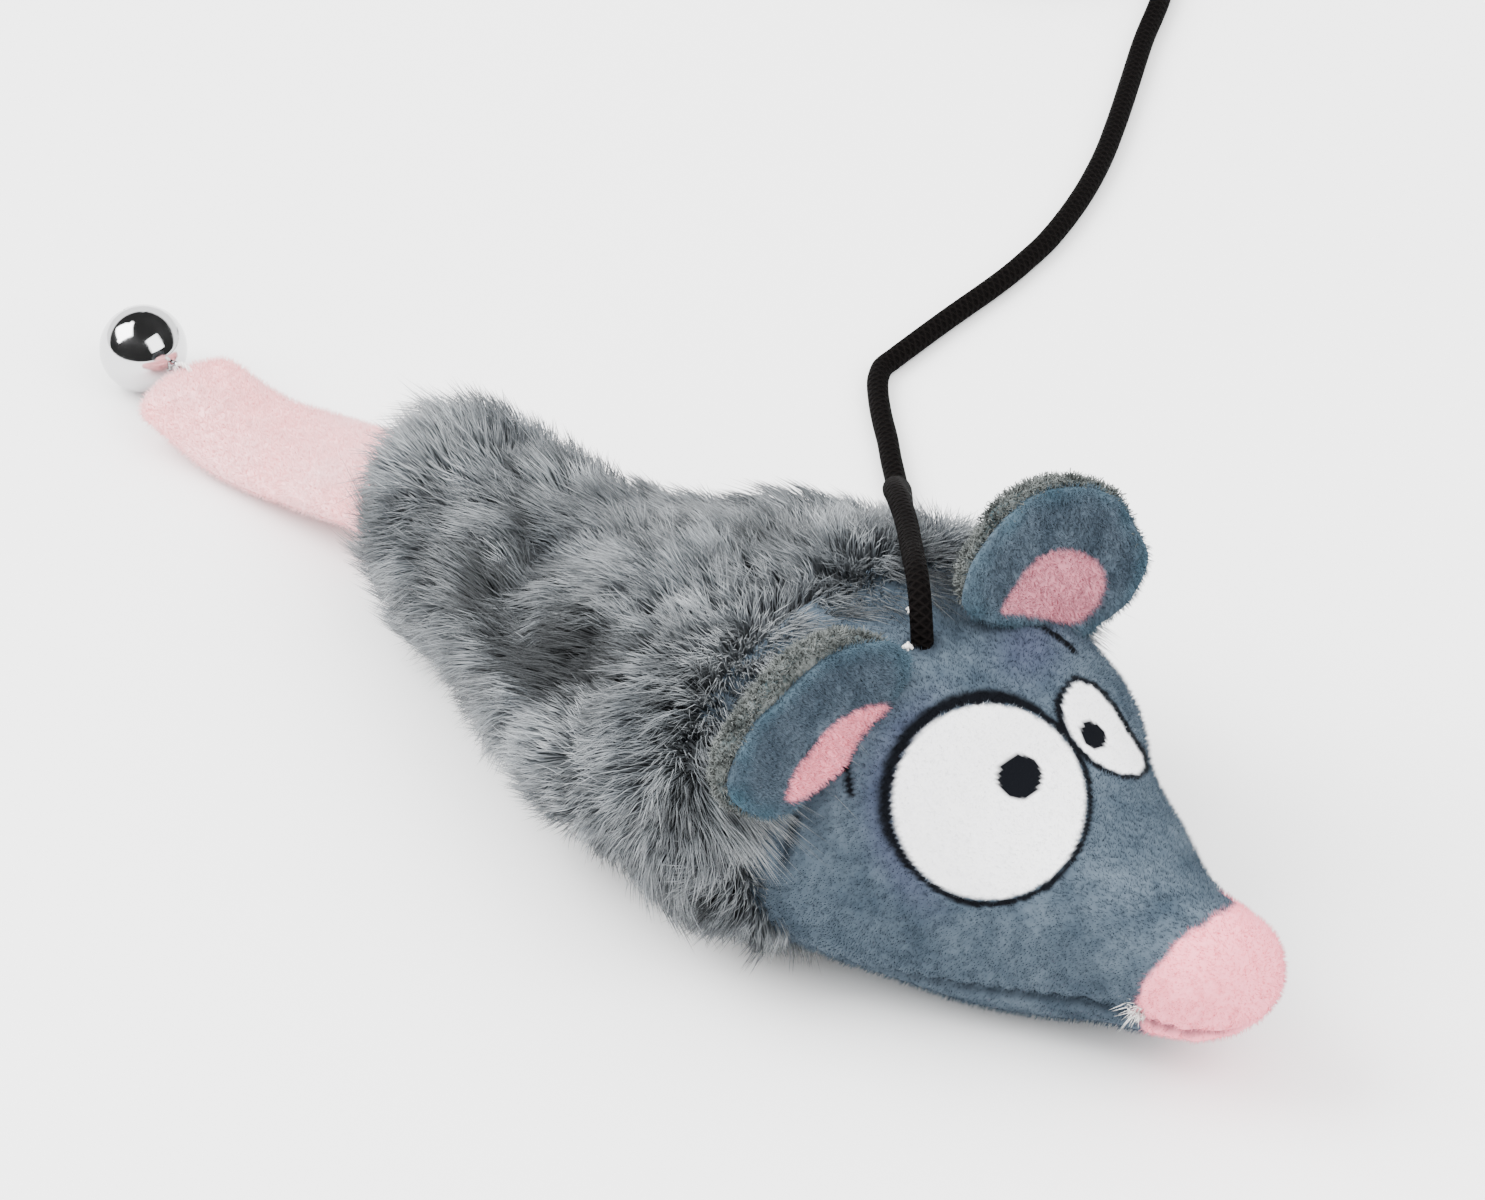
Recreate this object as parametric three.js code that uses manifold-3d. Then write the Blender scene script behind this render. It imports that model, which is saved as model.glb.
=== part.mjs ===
// Plush rat toy for cats: a stuffed head with sewn ears, a furry sleeve for a body, a flat tail with a
// jingle bell, and an elastic cord. Millimetres, +Z up, nose towards +X, left side towards +Y, lying on
// Z = 0 with the origin under the middle of the toy, its cord left aside.
import * as THREE from "three";
import { mergeVertices } from "three/addons/utils/BufferGeometryUtils.js";
import Module from "manifold-3d";

const wasm = await Module();
wasm.setup();

// Sizes that all pieces share
const gap = 0.3; // between two pieces that touch
const overrun = 6; // how far a cutter runs past what it cuts
const restCut = 0.5; // depth of the flat on which soft pieces lie
const mergeStep = 0.0005; // points nearer than this are one point

// Head: a cone of printed plush, blunt at the nose, whose round back turns in the sleeve's mouth
const headLength = 74; // nose tip to the neck's pivot
const headHalfWidth = 31;
const headHeight = 45.5;
const plushWall = 1.6;
const noseRound = 7; // length over which the nose tip rounds off
const neckHem = 8; // how far the head's cover runs back past the pivot
const jawSeamAtNose = 13.5; // height of the seam between cover and chin panel
const jawSeamAtNeck = 5.5;
// Shares of headLength, headHalfWidth, headHeight (top) and headHeight (bottom), from the nose back
const headShares = [
  [0, 0.27, 0.54, 0.24],
  [0.11, 0.305, 0.565, 0.19],
  [0.27, 0.352, 0.59, 0.11],
  [0.405, 0.503, 0.64, 0.045],
  [0.57, 0.7, 0.745, 0.015],
  [0.675, 0.86, 0.88, 0.01],
  [0.77, 0.945, 0.96, 0],
  [0.86, 0.98, 0.99, 0],
  [1, 1, 1, 0],
];
const noseRings = 5;
const headRings = 9;

// Body: a fur sleeve round its stuffing, full at the shoulders and narrow at the rump
const bodyLength = 104; // lip of the sleeve's mouth to the rump's end
const bodyHalfWidth = 40;
const bodyHeight = 46.5;
const furThickness = 7; // backing cloth and pile
const lipRound = 6; // length over which the sleeve's front edge rounds off
const lipDraw = 4; // how far that edge is drawn in
const lipLean = 13; // how far the mouth's lower edge reaches ahead of its upper one
const leanReach = 34; // length of sleeve over which that lean dies away
const lipFlare = 1.5; // how much wider than the head the mouth opens
const rumpRound = 9;
// Shares of bodyLength, bodyHalfWidth, bodyHeight, and bodyHalfWidth again for the sway to the left
const bodyShares = [
  [0, 0.99, 1, 0],
  [0.1, 1, 1, 0],
  [0.22, 0.93, 0.94, 0],
  [0.33, 0.84, 0.88, -0.01],
  [0.43, 0.72, 0.8, -0.03],
  [0.53, 0.63, 0.74, -0.02],
  [0.66, 0.53, 0.69, 0.03],
  [0.78, 0.47, 0.67, 0.085],
  [0.9, 0.41, 0.64, 0.17],
  [1, 0.36, 0.56, 0.225],
];
// Folds of the sleeve: share of bodyLength, degrees round from +Y, reach each way in both, and depth as
// a share of bodyHeight
const foldShares = [
  [0.565, 106, 0.075, 26, 0.065],
  [0.475, 139, 0.08, 18, 0.075],
  [0.305, 140, 0.075, 19, 0.09],
];
const lipRings = 3;
const bodyRings = 10;
const rumpRings = 4;

// Ears: two round layers, printed plush in front and fleece behind, on a rolled seam let into the head
const earHalfWidth = 16.5;
const earHalfHeight = 11;
const earRise = 10.5; // from the seam's line up to the middle of the ear's round
const earLean = 0.5; // how far that round leans outward
const earTilt = 10; // degrees that the ear leans back
const earFrontWall = 2.2;
const earBackWall = 2.6;
const earEdge = 1.3; // rounding of the ear's edge
const earRollRadius = 2.6;
const earRollLength = 14;
const earLift = 1.4; // clearance under the ear beside its seam, so that it can flop
const earFlop = 20; // degrees each way
const earInnerAhead = 12.5; // ends of the seam's line, ahead of the neck's pivot and out from the middle
const earInnerOut = 8;
const earOuterAhead = 16.5;
const earOuterOut = 28;

// Tail: two layers of pink plush, sewn at their edges and hinged by a rolled seam at the rump
const tailLength = 47.1;
const tailHalfWidth = 10;
const tailThickness = 6;
const tailTipRound = 6.5;
const tailRise = 30; // degrees above level to which the rump leaves room
const tailDroop = 50; // and below level
// Shares of tailLength, tailHalfWidth, tailThickness, tailHalfWidth for the sway, and tailThickness
// for the rise towards the rump and towards the bell
const tailShares = [
  [0, 1, 1, -0.05, 1.1],
  [0.25, 1.04, 1, 0.03, 0.66],
  [0.5, 1.03, 0.95, 0.07, 0.2],
  [0.7, 0.93, 0.88, -0.03, 0.14],
  [0.92, 0.92, 0.5, -0.1, 0.56],
  [1, 1.05, 0.32, -0.1, 0.6],
];
const tailRings = 8;
const tailTipRings = 4;

// Jingle bell: two pressed halves that meet at a bead, a loop on one, slots in the other, a ball inside
const bellRadius = 6.5;
const bellWall = 0.6;
const bellBead = 0.12; // how far the bead stands out
const bellBeadHeight = 0.3;
const bellSteps = 6; // facets from pole to rim
const bellSides = 24;
const loopRadius = 1.1;
const loopWire = 0.35; // radius of its wire
const slotLength = 9;
const slotWidth = 1.2;
const slotEndRadius = 1;
const pelletRadius = 1.9;
const tieRadius = 1.75; // ring of thread that ties the bell to the tail
const tieAside = 2.2; // how far to the left of the middle of the tail's tip it goes through
const threadRadius = 0.35;

// Cord: round elastic that comes out of the head behind its printed brow
const cordDiameter = 3.2;
const cordExitAhead = 11; // of the neck's pivot
const anchorDepth = 13; // of the knot inside the head
const anchorRadius = 3.6;
const anchorLength = 5;
const cordSides = 8;
const cordSteps = 78;
const coilLoops = 5;
const coilSides = 6;
const coilStepsPerLoop = 24;
const coilMidRadius = 18;
const coilPitch = 4.3; // from one loop to the next beside it
const coilLayer = 4.3; // from the lower loops to the upper ones
const endLead = 26; // straight cord from the last loop down to the end knot
const endLevel = 7; // how much of it stays level before it sinks to the floor
const endKnotRadius = 4;
const endKnotLength = 8;
// Shares of a knot's radius and of half its length, from one end to the other
const knotShares = [[0.8, -1], [1, -0.7], [1, -0.3], [0.9, 0], [1, 0.3], [1, 0.7], [0.8, 1]];
const endLoopLength = 34;
const endLoopSwell = 6.5; // how far the hanging loop swells to each side
const endLoopSteps = 24;
// The cord's way over the shoulder and along the floor, by hand, from the exit to the coil
const cordRoute = [
  [56.7, 0.5, 47.8],
  [54.9, 2.1, 50.2],
  [52.0, 4.6, 51.0],
  [48.2, 7.8, 50.3],
  [44.5, 11.0, 49.0],
  [40.6, 14.4, 47.8],
  [37.0, 17.4, 46.9],
  [33.4, 20.4, 45.7],
  [29.9, 23.6, 43.9],
  [26.9, 27.4, 40.7],
  [23.8, 31.8, 36.6],
  [20.9, 35.2, 31.3],
  [18.6, 37.2, 24.5],
  [16.2, 38.6, 16.5],
  [12.6, 41.6, 8.6],
  [7.2, 46.9, 3.2],
  [0.2, 54.0, 1.7],
  [-8.0, 61.5, 1.6],
  [-14.5, 66.7, 1.6],
  [-18.5, 69.8, 1.6],
  [-22.4, 73.0, 1.6],
  [-26.5, 76.1, 1.6],
  [-30.4, 79.3, 1.6],
  [-33.2, 81.9, 1.6],
  [-34.5, 83.4, 1.6],
  [-35.8, 85.6, 1.6],
  [-36.1, 88.0, 1.6],
  [-36.6, 92.5, 1.6],
  [-37.4, 100.6, 1.6],
  [-38.5, 113.7, 1.6],
  [-39.5, 119.9, 1.6],
  [-40.8, 125.8, 1.6],
  [-44.7, 136.6, 1.6],
  [-49.6, 146.6, 1.6],
  [-55.3, 156.0, 1.6],
  [-61.3, 165.2, 1.6],
  [-67.4, 174.5, 1.6],
  [-73.2, 184.3, 1.6],
  [-78.6, 192.0, 1.6],
];
const coilStart = [-84.6, 204.6];

// Small threads that show
const tackRadius = 0.4; // thread whipped round the cord where it leaves the head
const tuftBehindNose = 18; // thread end left at the jaw seam
const tuftLength = 3;
const tuftRadius = 1.1;
const tuftTipRadius = 0.4;

const plushFullness = 2.25; // 2 is an ellipse, more is squarer
const sectionPoints = 32;
const firstRingShare = 0.15; // of a rounded end's quarter turn, where its first ring lies

// Places worked out from those sizes
const neckRadius = headHeight / 2;
const neckHeight = neckRadius - restCut;
const tailHeight = tailThickness / 2 - restCut;
const tailRootHeight = tailHeight + tailThickness * tailShares[0][4];
const tieHeight = tailHeight + tailThickness * tailShares[tailShares.length - 1][4];
const loopOut = bellRadius + loopRadius - loopWire; // bell's middle to the middle of its loop
const loopDrop = bellRadius - tieHeight;
const bellBehindTip = tieRadius + Math.sqrt(loopOut ** 2 - loopDrop ** 2);
const wholeLength = headLength + bodyLength + tailLength + bellBehindTip + bellRadius;
const noseX = wholeLength / 2;
const neckX = noseX - headLength;
const rumpX = neckX - bodyLength;
const tailTipX = rumpX - tailLength;
const tailY = bodyHalfWidth * bodyShares[bodyShares.length - 1][3];
const tailRootY = tailY + tailHalfWidth * tailShares[0][3];
const tieY = tailY + tailHalfWidth * tailShares[tailShares.length - 1][3] + tieAside;
const cordRadius = cordDiameter / 2;
const cordExitX = neckX + cordExitAhead;
const power = 2 / plushFullness;

// Materials
const makeMaterial = (color, roughness, metalness = 0) =>
  new THREE.MeshStandardMaterial({ color, roughness, metalness });
const printedPlush = makeMaterial(0x5f7487, 0.95);
const greyFleece = makeMaterial(0x7e8686, 1);
const furCloth = makeMaterial(0x7f8b93, 1);
const pinkPlush = makeMaterial(0xf2b7bd, 0.95);
const stuffingFibre = makeMaterial(0xf3f3f0, 1);
const chrome = makeMaterial(0xdadada, 0.15, 1);
const steel = makeMaterial(0x8d8f92, 0.4, 1);
const whiteThread = makeMaterial(0xf4f2f0, 0.9);
const blackElastic = makeMaterial(0x151515, 0.85);

const shaped = (value) => Math.sign(value) * Math.abs(value) ** power;
const superHeight = (share) => (1 - Math.min(Math.abs(share), 1) ** plushFullness) ** (1 / plushFullness);
const radians = THREE.MathUtils.degToRad;

// Reads one column of a table of shares at any place along it, on a smooth curve through its rows
function readShare(table, column, along) {
  const last = table.length - 2;
  let row = 0;
  while (row < last && along > table[row + 1][0]) {
    row += 1;
  }
  const at = (index) => table[Math.min(Math.max(index, 0), table.length - 1)];
  const [before, start, end, after] = [at(row - 1), at(row), at(row + 1), at(row + 2)];
  const span = end[0] - start[0];
  const slope = (low, high) => (high[column] - low[column]) / Math.max(high[0] - low[0], span);
  const t = (along - start[0]) / span;
  const startSlope = slope(before, end) * span;
  const endSlope = slope(start, after) * span;
  const rise = end[column] - start[column];
  const curve = 3 * rise - 2 * startSlope - endSlope;
  return start[column] + startSlope * t + curve * t ** 2 + (startSlope + endSlope - 2 * rise) * t ** 3;
}

// A ring of a soft section across X, counted round from +Y to +Z
function softRing(x, middleY, middleZ, halfWidth, halfHeight) {
  return Array.from({ length: sectionPoints }, (_, index) => {
    const angle = (2 * Math.PI * index) / sectionPoints;
    const y = middleY + halfWidth * shaped(Math.cos(angle));
    return new THREE.Vector3(x, y, middleZ + halfHeight * shaped(Math.sin(angle)));
  });
}

// Skins rings that follow each other towards -X and closes both ends
function loft(rings) {
  const count = rings[0].length;
  const middle = (ring) =>
    ring.reduce((sum, point) => sum.add(point), new THREE.Vector3()).divideScalar(count);
  const last = rings.length - 1;
  const points = [...rings.flat(), middle(rings[0]), middle(rings[last])];
  const frontMiddle = rings.length * count;
  const triangles = [];
  for (let side = 0; side < count; side += 1) {
    const next = (side + 1) % count;
    for (let ring = 0; ring < last; ring += 1) {
      const near = ring * count;
      const far = near + count;
      triangles.push(near + side, far + next, near + next);
      triangles.push(near + side, far + side, far + next);
    }
    triangles.push(frontMiddle, side, next);
    triangles.push(frontMiddle + 1, last * count + next, last * count + side);
  }
  const geometry = new THREE.BufferGeometry().setFromPoints(points);
  geometry.setIndex(triangles);
  return geometry;
}

// The share of full size at a distance from an end that rounds off
function roundedShare(distance, round) {
  return Math.sqrt(1 - Math.max(1 - distance / round, 0) ** 2);
}

// Distances from a rounded end at which rings lie, close together near that end
function roundedSteps(round, count) {
  return Array.from({ length: count }, (_, index) => {
    const turnShare = firstRingShare + ((1 - firstRingShare) * index) / count;
    return round * (1 - Math.cos((Math.PI / 2) * turnShare));
  });
}

// Even steps from one distance to another, both ends counted
function evenSteps(from, to, count) {
  return Array.from({ length: count + 1 }, (_, index) => from + ((to - from) * index) / count);
}

// Volume of a closed mesh, below zero where its faces point inwards
function signedVolume(position, index) {
  const corner = (at) => new THREE.Vector3().fromBufferAttribute(position, index.getX(at));
  let volume = 0;
  for (let at = 0; at < index.count; at += 3) {
    volume += corner(at).dot(corner(at + 1).cross(corner(at + 2))) / 6;
  }
  return volume;
}

// Turns a closed geometry into a solid that can be joined and cut
function solidFrom(geometry) {
  const bare = geometry.clone();
  bare.deleteAttribute("normal");
  bare.deleteAttribute("uv");
  const merged = mergeVertices(bare, mergeStep);
  const triVerts = new Uint32Array(merged.index.array);
  if (signedVolume(merged.attributes.position, merged.index) < 0) {
    triVerts.reverse();
  }
  const vertProperties = new Float32Array(merged.attributes.position.array);
  return new wasm.Manifold(new wasm.Mesh({ numProp: 3, vertProperties, triVerts }));
}

function geometryFrom(solid) {
  const mesh = solid.getMesh();
  const geometry = new THREE.BufferGeometry();
  geometry.setAttribute("position", new THREE.BufferAttribute(mesh.vertProperties, 3));
  geometry.setIndex(new THREE.BufferAttribute(mesh.triVerts, 1));
  return geometry;
}

// Keeps what lies on the side of a plane to which its direction points
function keepSide(solid, direction, point) {
  const normal = direction.clone().normalize();
  return solid.trimByPlane(normal.toArray(), normal.dot(point));
}

const floorPoint = new THREE.Vector3();
const upward = new THREE.Vector3(0, 0, 1);
const cutToFloor = (solid) => keepSide(solid, upward, floorPoint);

// A cylinder of a given radius round a line
function rod(radius, start, end, sides = 16) {
  const direction = end.clone().sub(start);
  const cylinder = new THREE.CylinderGeometry(radius, radius, direction.length(), sides);
  const turn = new THREE.Quaternion().setFromUnitVectors(
    new THREE.Vector3(0, 1, 0),
    direction.clone().normalize(),
  );
  const middle = start.clone().add(end).multiplyScalar(1 / 2);
  return solidFrom(cylinder.applyQuaternion(turn).translate(middle.x, middle.y, middle.z));
}

// The head's section at a distance behind the nose tip
function headSection(behind) {
  const along = behind / headLength;
  return {
    halfWidth: headHalfWidth * readShare(headShares, 1, along),
    top: headHeight * readShare(headShares, 2, along) - restCut,
    bottom: headHeight * readShare(headShares, 3, along) - restCut,
  };
}

// Height of the head's upper surface at a place ahead of the neck's pivot and out from the middle
function headTop(ahead, out) {
  const { halfWidth, top, bottom } = headSection(headLength - ahead);
  return (top + bottom) / 2 + ((top - bottom) / 2) * superHeight(out / halfWidth);
}

// The round back of the head: its last section turned about the neck's pivot line, grown by `grow`
function neckBall(grow) {
  const steps = sectionPoints / 2;
  const profile = Array.from({ length: steps + 1 }, (_, index) => {
    const angle = Math.PI * (index / steps - 1 / 2);
    const radius = index % steps === 0 ? 0 : (neckRadius + grow) * shaped(Math.cos(angle));
    return new THREE.Vector2(radius, (headHalfWidth + grow) * shaped(Math.sin(angle)));
  });
  const ball = new THREE.LatheGeometry(profile, sectionPoints);
  return solidFrom(ball.translate(neckX, 0, neckHeight));
}

// The head's outer form, or the form that lies `inset` inside it
function headForm(inset) {
  const distances = [
    ...roundedSteps(noseRound, noseRings),
    ...evenSteps(noseRound, headLength - inset, headRings),
  ];
  const rings = distances.map((distance) => {
    const { halfWidth, top, bottom } = headSection((distance * headLength) / (headLength - inset));
    const round = roundedShare(distance, noseRound);
    const width = (halfWidth - inset) * round;
    const height = ((top - bottom) / 2 - inset) * round;
    return softRing(noseX - inset - distance, 0, (top + bottom) / 2, width, height);
  });
  return solidFrom(loft(rings)).add(neckBall(-inset));
}

// How far the sleeve's folds draw it in at a place along it and round it
function foldDepth(along, angle) {
  return foldShares.reduce((sum, [place, turn, reach, spread, depth]) => {
    const off = ((along - place) / reach) ** 2 + ((angle - radians(turn)) / radians(spread)) ** 2;
    return sum + bodyHeight * depth * Math.exp(-off);
  }, 0);
}

// The sleeve's outer form, or the form that lies `inset` inside it
function bodyForm(inset) {
  const distances = [
    ...roundedSteps(lipRound, lipRings),
    ...evenSteps(lipRound, bodyLength - rumpRound, bodyRings),
    ...roundedSteps(rumpRound, rumpRings)
      .reverse()
      .map((distance) => bodyLength - distance),
  ];
  const rings = distances.map((distance) => {
    const along = distance / bodyLength;
    const drawn = lipDraw * (1 - roundedShare(distance, lipRound));
    const round = roundedShare(bodyLength - distance, rumpRound);
    const top = bodyHeight * readShare(bodyShares, 2, along) - restCut;
    const halfHeight = ((top + restCut) / 2 - inset) * round - drawn;
    const halfWidth = (bodyHalfWidth * readShare(bodyShares, 1, along) - inset) * round - drawn;
    const sway = bodyHalfWidth * readShare(bodyShares, 3, along);
    const x = neckX - distance + (inset * distance) / bodyLength;
    const ring = softRing(x, sway, (top - restCut) / 2, halfWidth, halfHeight);
    const lean = lipLean * Math.max(1 - distance / leanReach, 0);
    ring.forEach((point, index) => {
      const angle = (2 * Math.PI * index) / sectionPoints;
      const drawnIn = foldDepth(along, angle);
      point.y -= drawnIn * Math.cos(angle);
      point.z -= drawnIn * Math.sin(angle);
      point.x += lean * (1 - point.z / bodyHeight);
    });
    return ring;
  });
  return solidFrom(loft(rings));
}

// The hollow in the sleeve's mouth in which the back of the head turns, flared towards its lip
function mouthHollow() {
  const flared = (ahead, grow) => {
    return softRing(neckX + ahead, 0, neckHeight, headHalfWidth + grow, neckRadius + grow);
  };
  const slope = (lipFlare - gap) / neckHem;
  const reach = lipLean + overrun;
  return solidFrom(loft([flared(reach, lipFlare + reach * slope), flared(-neckHem, gap)])).add(
    neckBall(gap),
  );
}

// Where an ear's seam lies: its middle, and its directions along the seam, forward and up
function earFrame(side) {
  const end = (ahead, out) => new THREE.Vector3(neckX + ahead, side * out, headTop(ahead, out));
  const inner = end(earInnerAhead, earInnerOut);
  const outer = end(earOuterAhead, earOuterOut);
  const along = outer.clone().sub(inner).normalize().multiplyScalar(-side);
  const middle = inner.clone().add(outer).multiplyScalar(1 / 2);
  const core = new THREE.Vector3(middle.x, 0, neckHeight);
  const out = middle.clone().sub(core);
  const upright = out.sub(along.clone().multiplyScalar(out.dot(along))).normalize();
  const up = upright.applyAxisAngle(along, radians(earTilt));
  const face = up.clone().cross(along);
  return new THREE.Matrix4().makeBasis(along, face, up).setPosition(middle);
}

// The groove in the head in which an ear's seam turns, with room for the ear to flop each way
function earGroove(frame) {
  const halfLength = earRollLength / 2 + gap;
  const halfBlade = (earFrontWall + earBackWall + gap) / 2 + gap;
  const reach = earHalfHeight;
  const spread = halfBlade / Math.cos(radians(earFlop)) + reach * Math.tan(radians(earFlop));
  const wedge = new THREE.Shape();
  wedge.moveTo(-halfBlade, 0);
  wedge.lineTo(-spread, reach);
  wedge.lineTo(spread, reach);
  wedge.lineTo(halfBlade, 0);
  wedge.closePath();
  const geometry = new THREE.ExtrudeGeometry(wedge, { depth: 2 * halfLength, bevelEnabled: false });
  geometry.translate(0, 0, -halfLength);
  const turned = new THREE.Matrix4().makeBasis(
    new THREE.Vector3(0, 1, 0),
    new THREE.Vector3(0, 0, 1),
    new THREE.Vector3(1, 0, 0),
  );
  const roll = rod(
    earRollRadius + gap,
    new THREE.Vector3(-halfLength, 0, 0),
    new THREE.Vector3(halfLength, 0, 0),
  );
  const groove = solidFrom(geometry.applyMatrix4(turned)).add(roll);
  return groove.transform(frame.elements);
}

// One ear as a whole: a round, soft-edged blade that stands on its rolled seam
function earBlank(side, frame, clearedHead) {
  const thickness = earFrontWall + earBackWall + gap;
  const round = new THREE.Shape();
  const halfWidth = earHalfWidth - earEdge;
  round.absellipse(-side * earLean, earRise, halfWidth, earHalfHeight - earEdge, 0, 2 * Math.PI);
  const blade = new THREE.ExtrudeGeometry(round, {
    depth: thickness - 2 * earEdge,
    bevelThickness: earEdge,
    bevelSize: earEdge,
    bevelSegments: 2,
    curveSegments: 16,
  });
  blade.translate(0, 0, -thickness / 2 + earEdge);
  blade.rotateX(Math.PI / 2);
  const upperBlade = keepSide(solidFrom(blade), upward, new THREE.Vector3());
  const seatedBlade = upperBlade.transform(frame.elements).subtract(clearedHead);
  const halfLength = earRollLength / 2;
  const stem = new THREE.BoxGeometry(earRollLength, thickness, earRise);
  stem.translate(0, 0, earRise / 2);
  const roll = rod(
    earRollRadius,
    new THREE.Vector3(-halfLength, 0, 0),
    new THREE.Vector3(halfLength, 0, 0),
  );
  const seam = solidFrom(stem).add(roll).transform(frame.elements);
  return seatedBlade.add(seam);
}

// The two layers of an ear, parted by a plane that leaves a gap between them
function earLayers(side, frame, clearedHead) {
  const blank = earBlank(side, frame, clearedHead);
  const face = new THREE.Vector3().setFromMatrixColumn(frame, 1);
  const seamMiddle = new THREE.Vector3().setFromMatrixPosition(frame);
  const partAt = (earBackWall - earFrontWall) / 2;
  const frontPoint = seamMiddle.clone().addScaledVector(face, partAt + gap / 2);
  const backPoint = seamMiddle.clone().addScaledVector(face, partAt - gap / 2);
  return {
    front: keepSide(blank, face, frontPoint),
    back: keepSide(blank, face.clone().negate(), backPoint),
  };
}

// One of the tail's layers: the upper one for side 1, the lower one for side -1
function tailLayer(side) {
  const distances = [
    ...evenSteps(0, tailLength - tailTipRound, tailRings),
    ...roundedSteps(tailTipRound, tailTipRings)
      .reverse()
      .map((distance) => tailLength - distance),
  ];
  const rings = distances.map((distance) => {
    const along = distance / tailLength;
    const round = roundedShare(tailLength - distance, tailTipRound);
    const halfWidth = tailHalfWidth * readShare(tailShares, 1, along) * round;
    const halfHeight = (tailThickness / 2) * readShare(tailShares, 2, along);
    const middleY = tailY + tailHalfWidth * readShare(tailShares, 3, along);
    const middleZ = tailHeight + tailThickness * readShare(tailShares, 4, along);
    const parting = middleZ + (side * gap) / 2;
    const x = rumpX - distance;
    const ring = softRing(x, middleY, middleZ, halfWidth, halfHeight);
    ring.forEach((point) => {
      point.z = side > 0 ? Math.max(point.z, parting) : Math.min(point.z, parting);
    });
    return ring;
  });
  const halfRoll = (tailHalfWidth - tailThickness / 2) * tailShares[0][1];
  const roll = rod(
    tailThickness / 2,
    new THREE.Vector3(rumpX, tailRootY - halfRoll, tailRootHeight),
    new THREE.Vector3(rumpX, tailRootY + halfRoll, tailRootHeight),
    20,
  );
  const rollPoint = new THREE.Vector3(rumpX - gap, 0, tailRootHeight + (side * gap) / 2);
  const front = keepSide(roll, new THREE.Vector3(1, 0, 0), rollPoint);
  const halved = keepSide(front, upward.clone().multiplyScalar(side), rollPoint);
  return cutToFloor(solidFrom(loft(rings)).add(halved)).subtract(tieHole);
}

// The room that the tail's seam and its swing need in the rump
function tailRoom() {
  const radius = tailThickness / 2 + gap;
  const halfWidth = tailHalfWidth + gap;
  const reach = rumpRound + overrun;
  const edge = (angle) => new THREE.Vector2(-Math.cos(angle), Math.sin(angle));
  const upper = edge(radians(tailRise));
  const lower = edge(radians(-tailDroop));
  const wedge = new THREE.Shape();
  wedge.moveTo(radius * upper.y, -radius * upper.x);
  wedge.lineTo(radius * upper.y + reach * upper.x, -radius * upper.x + reach * upper.y);
  wedge.lineTo(radius * lower.y * -1 + reach * lower.x, radius * lower.x + reach * lower.y);
  wedge.lineTo(-radius * lower.y, radius * lower.x);
  const from = Math.atan2(lower.x, -lower.y);
  wedge.absarc(0, 0, radius, from, Math.atan2(-upper.x, upper.y), false);
  const room = new THREE.ExtrudeGeometry(wedge, {
    depth: 2 * halfWidth,
    bevelEnabled: false,
    curveSegments: 10,
  });
  room.rotateX(Math.PI / 2);
  return solidFrom(room.translate(rumpX, tailRootY + halfWidth, tailRootHeight));
}

// Half of the bell, its pole along +Y, as a revolved wall with a bead at its rim
function bellHalf() {
  const rim = gap / 2;
  const arc = (radius) =>
    evenSteps(0, Math.PI / 2, bellSteps).map(
      (angle) => new THREE.Vector2(radius * Math.sin(angle), Math.max(radius * Math.cos(angle), rim)),
    );
  const inner = arc(bellRadius - bellWall);
  const outer = arc(bellRadius).reverse();
  const bead = [
    new THREE.Vector2(bellRadius + bellBead, rim),
    new THREE.Vector2(bellRadius + bellBead, rim + bellBeadHeight),
    new THREE.Vector2(bellRadius, rim + bellBeadHeight),
  ];
  return solidFrom(new THREE.LatheGeometry([...inner, ...bead, ...outer.slice(1)], bellSides));
}

const toyGroup = new THREE.Group();

function addPiece(name, solid, material) {
  const geometry = solid.isBufferGeometry ? solid : geometryFrom(solid);
  const mesh = new THREE.Mesh(geometry, material);
  mesh.name = name;
  toyGroup.add(mesh);
}

// Head: cover and chin panel are the two parts of one shell, parted along the jaw seam
const headOuter = headForm(0);
const headShell = cutToFloor(headOuter).subtract(headForm(plushWall));
const openShell = keepSide(
  headShell,
  new THREE.Vector3(1, 0, 0),
  new THREE.Vector3(neckX - neckHem, 0, 0),
);
const seamUp = new THREE.Vector3(jawSeamAtNeck - jawSeamAtNose, 0, headLength);
const seamPoint = new THREE.Vector3(neckX, 0, jawSeamAtNeck);
const earFrames = { left: earFrame(1), right: earFrame(-1) };
const grooves = earGroove(earFrames.left).add(earGroove(earFrames.right));
const exitTop = new THREE.Vector3(cordExitX, 0, headTop(cordExitAhead, 0));
const aboveExit = exitTop.clone().addScaledVector(upward, overrun);
const anchorMiddle = exitTop.clone().addScaledVector(upward, -anchorDepth);
const cordHole = rod(cordRadius + gap, anchorMiddle, aboveExit, 12);
const anchorRoom = solidFrom(
  new THREE.SphereGeometry(anchorRadius + 2 * gap, 16, 10).translate(...anchorMiddle.toArray()),
);

const coverBlank = keepSide(openShell, seamUp, seamPoint.clone().addScaledVector(upward, gap / 2));
addPiece("head_cover", coverBlank.subtract(grooves).subtract(cordHole), printedPlush);
const chinBlank = keepSide(
  openShell,
  seamUp.clone().negate(),
  seamPoint.clone().addScaledVector(upward, -gap / 2),
);
addPiece("chin_panel", chinBlank, printedPlush);
const headFilling = headForm(plushWall + gap).subtract(grooves).subtract(cordHole);
addPiece("head_stuffing", headFilling.subtract(anchorRoom), stuffingFibre);

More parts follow.
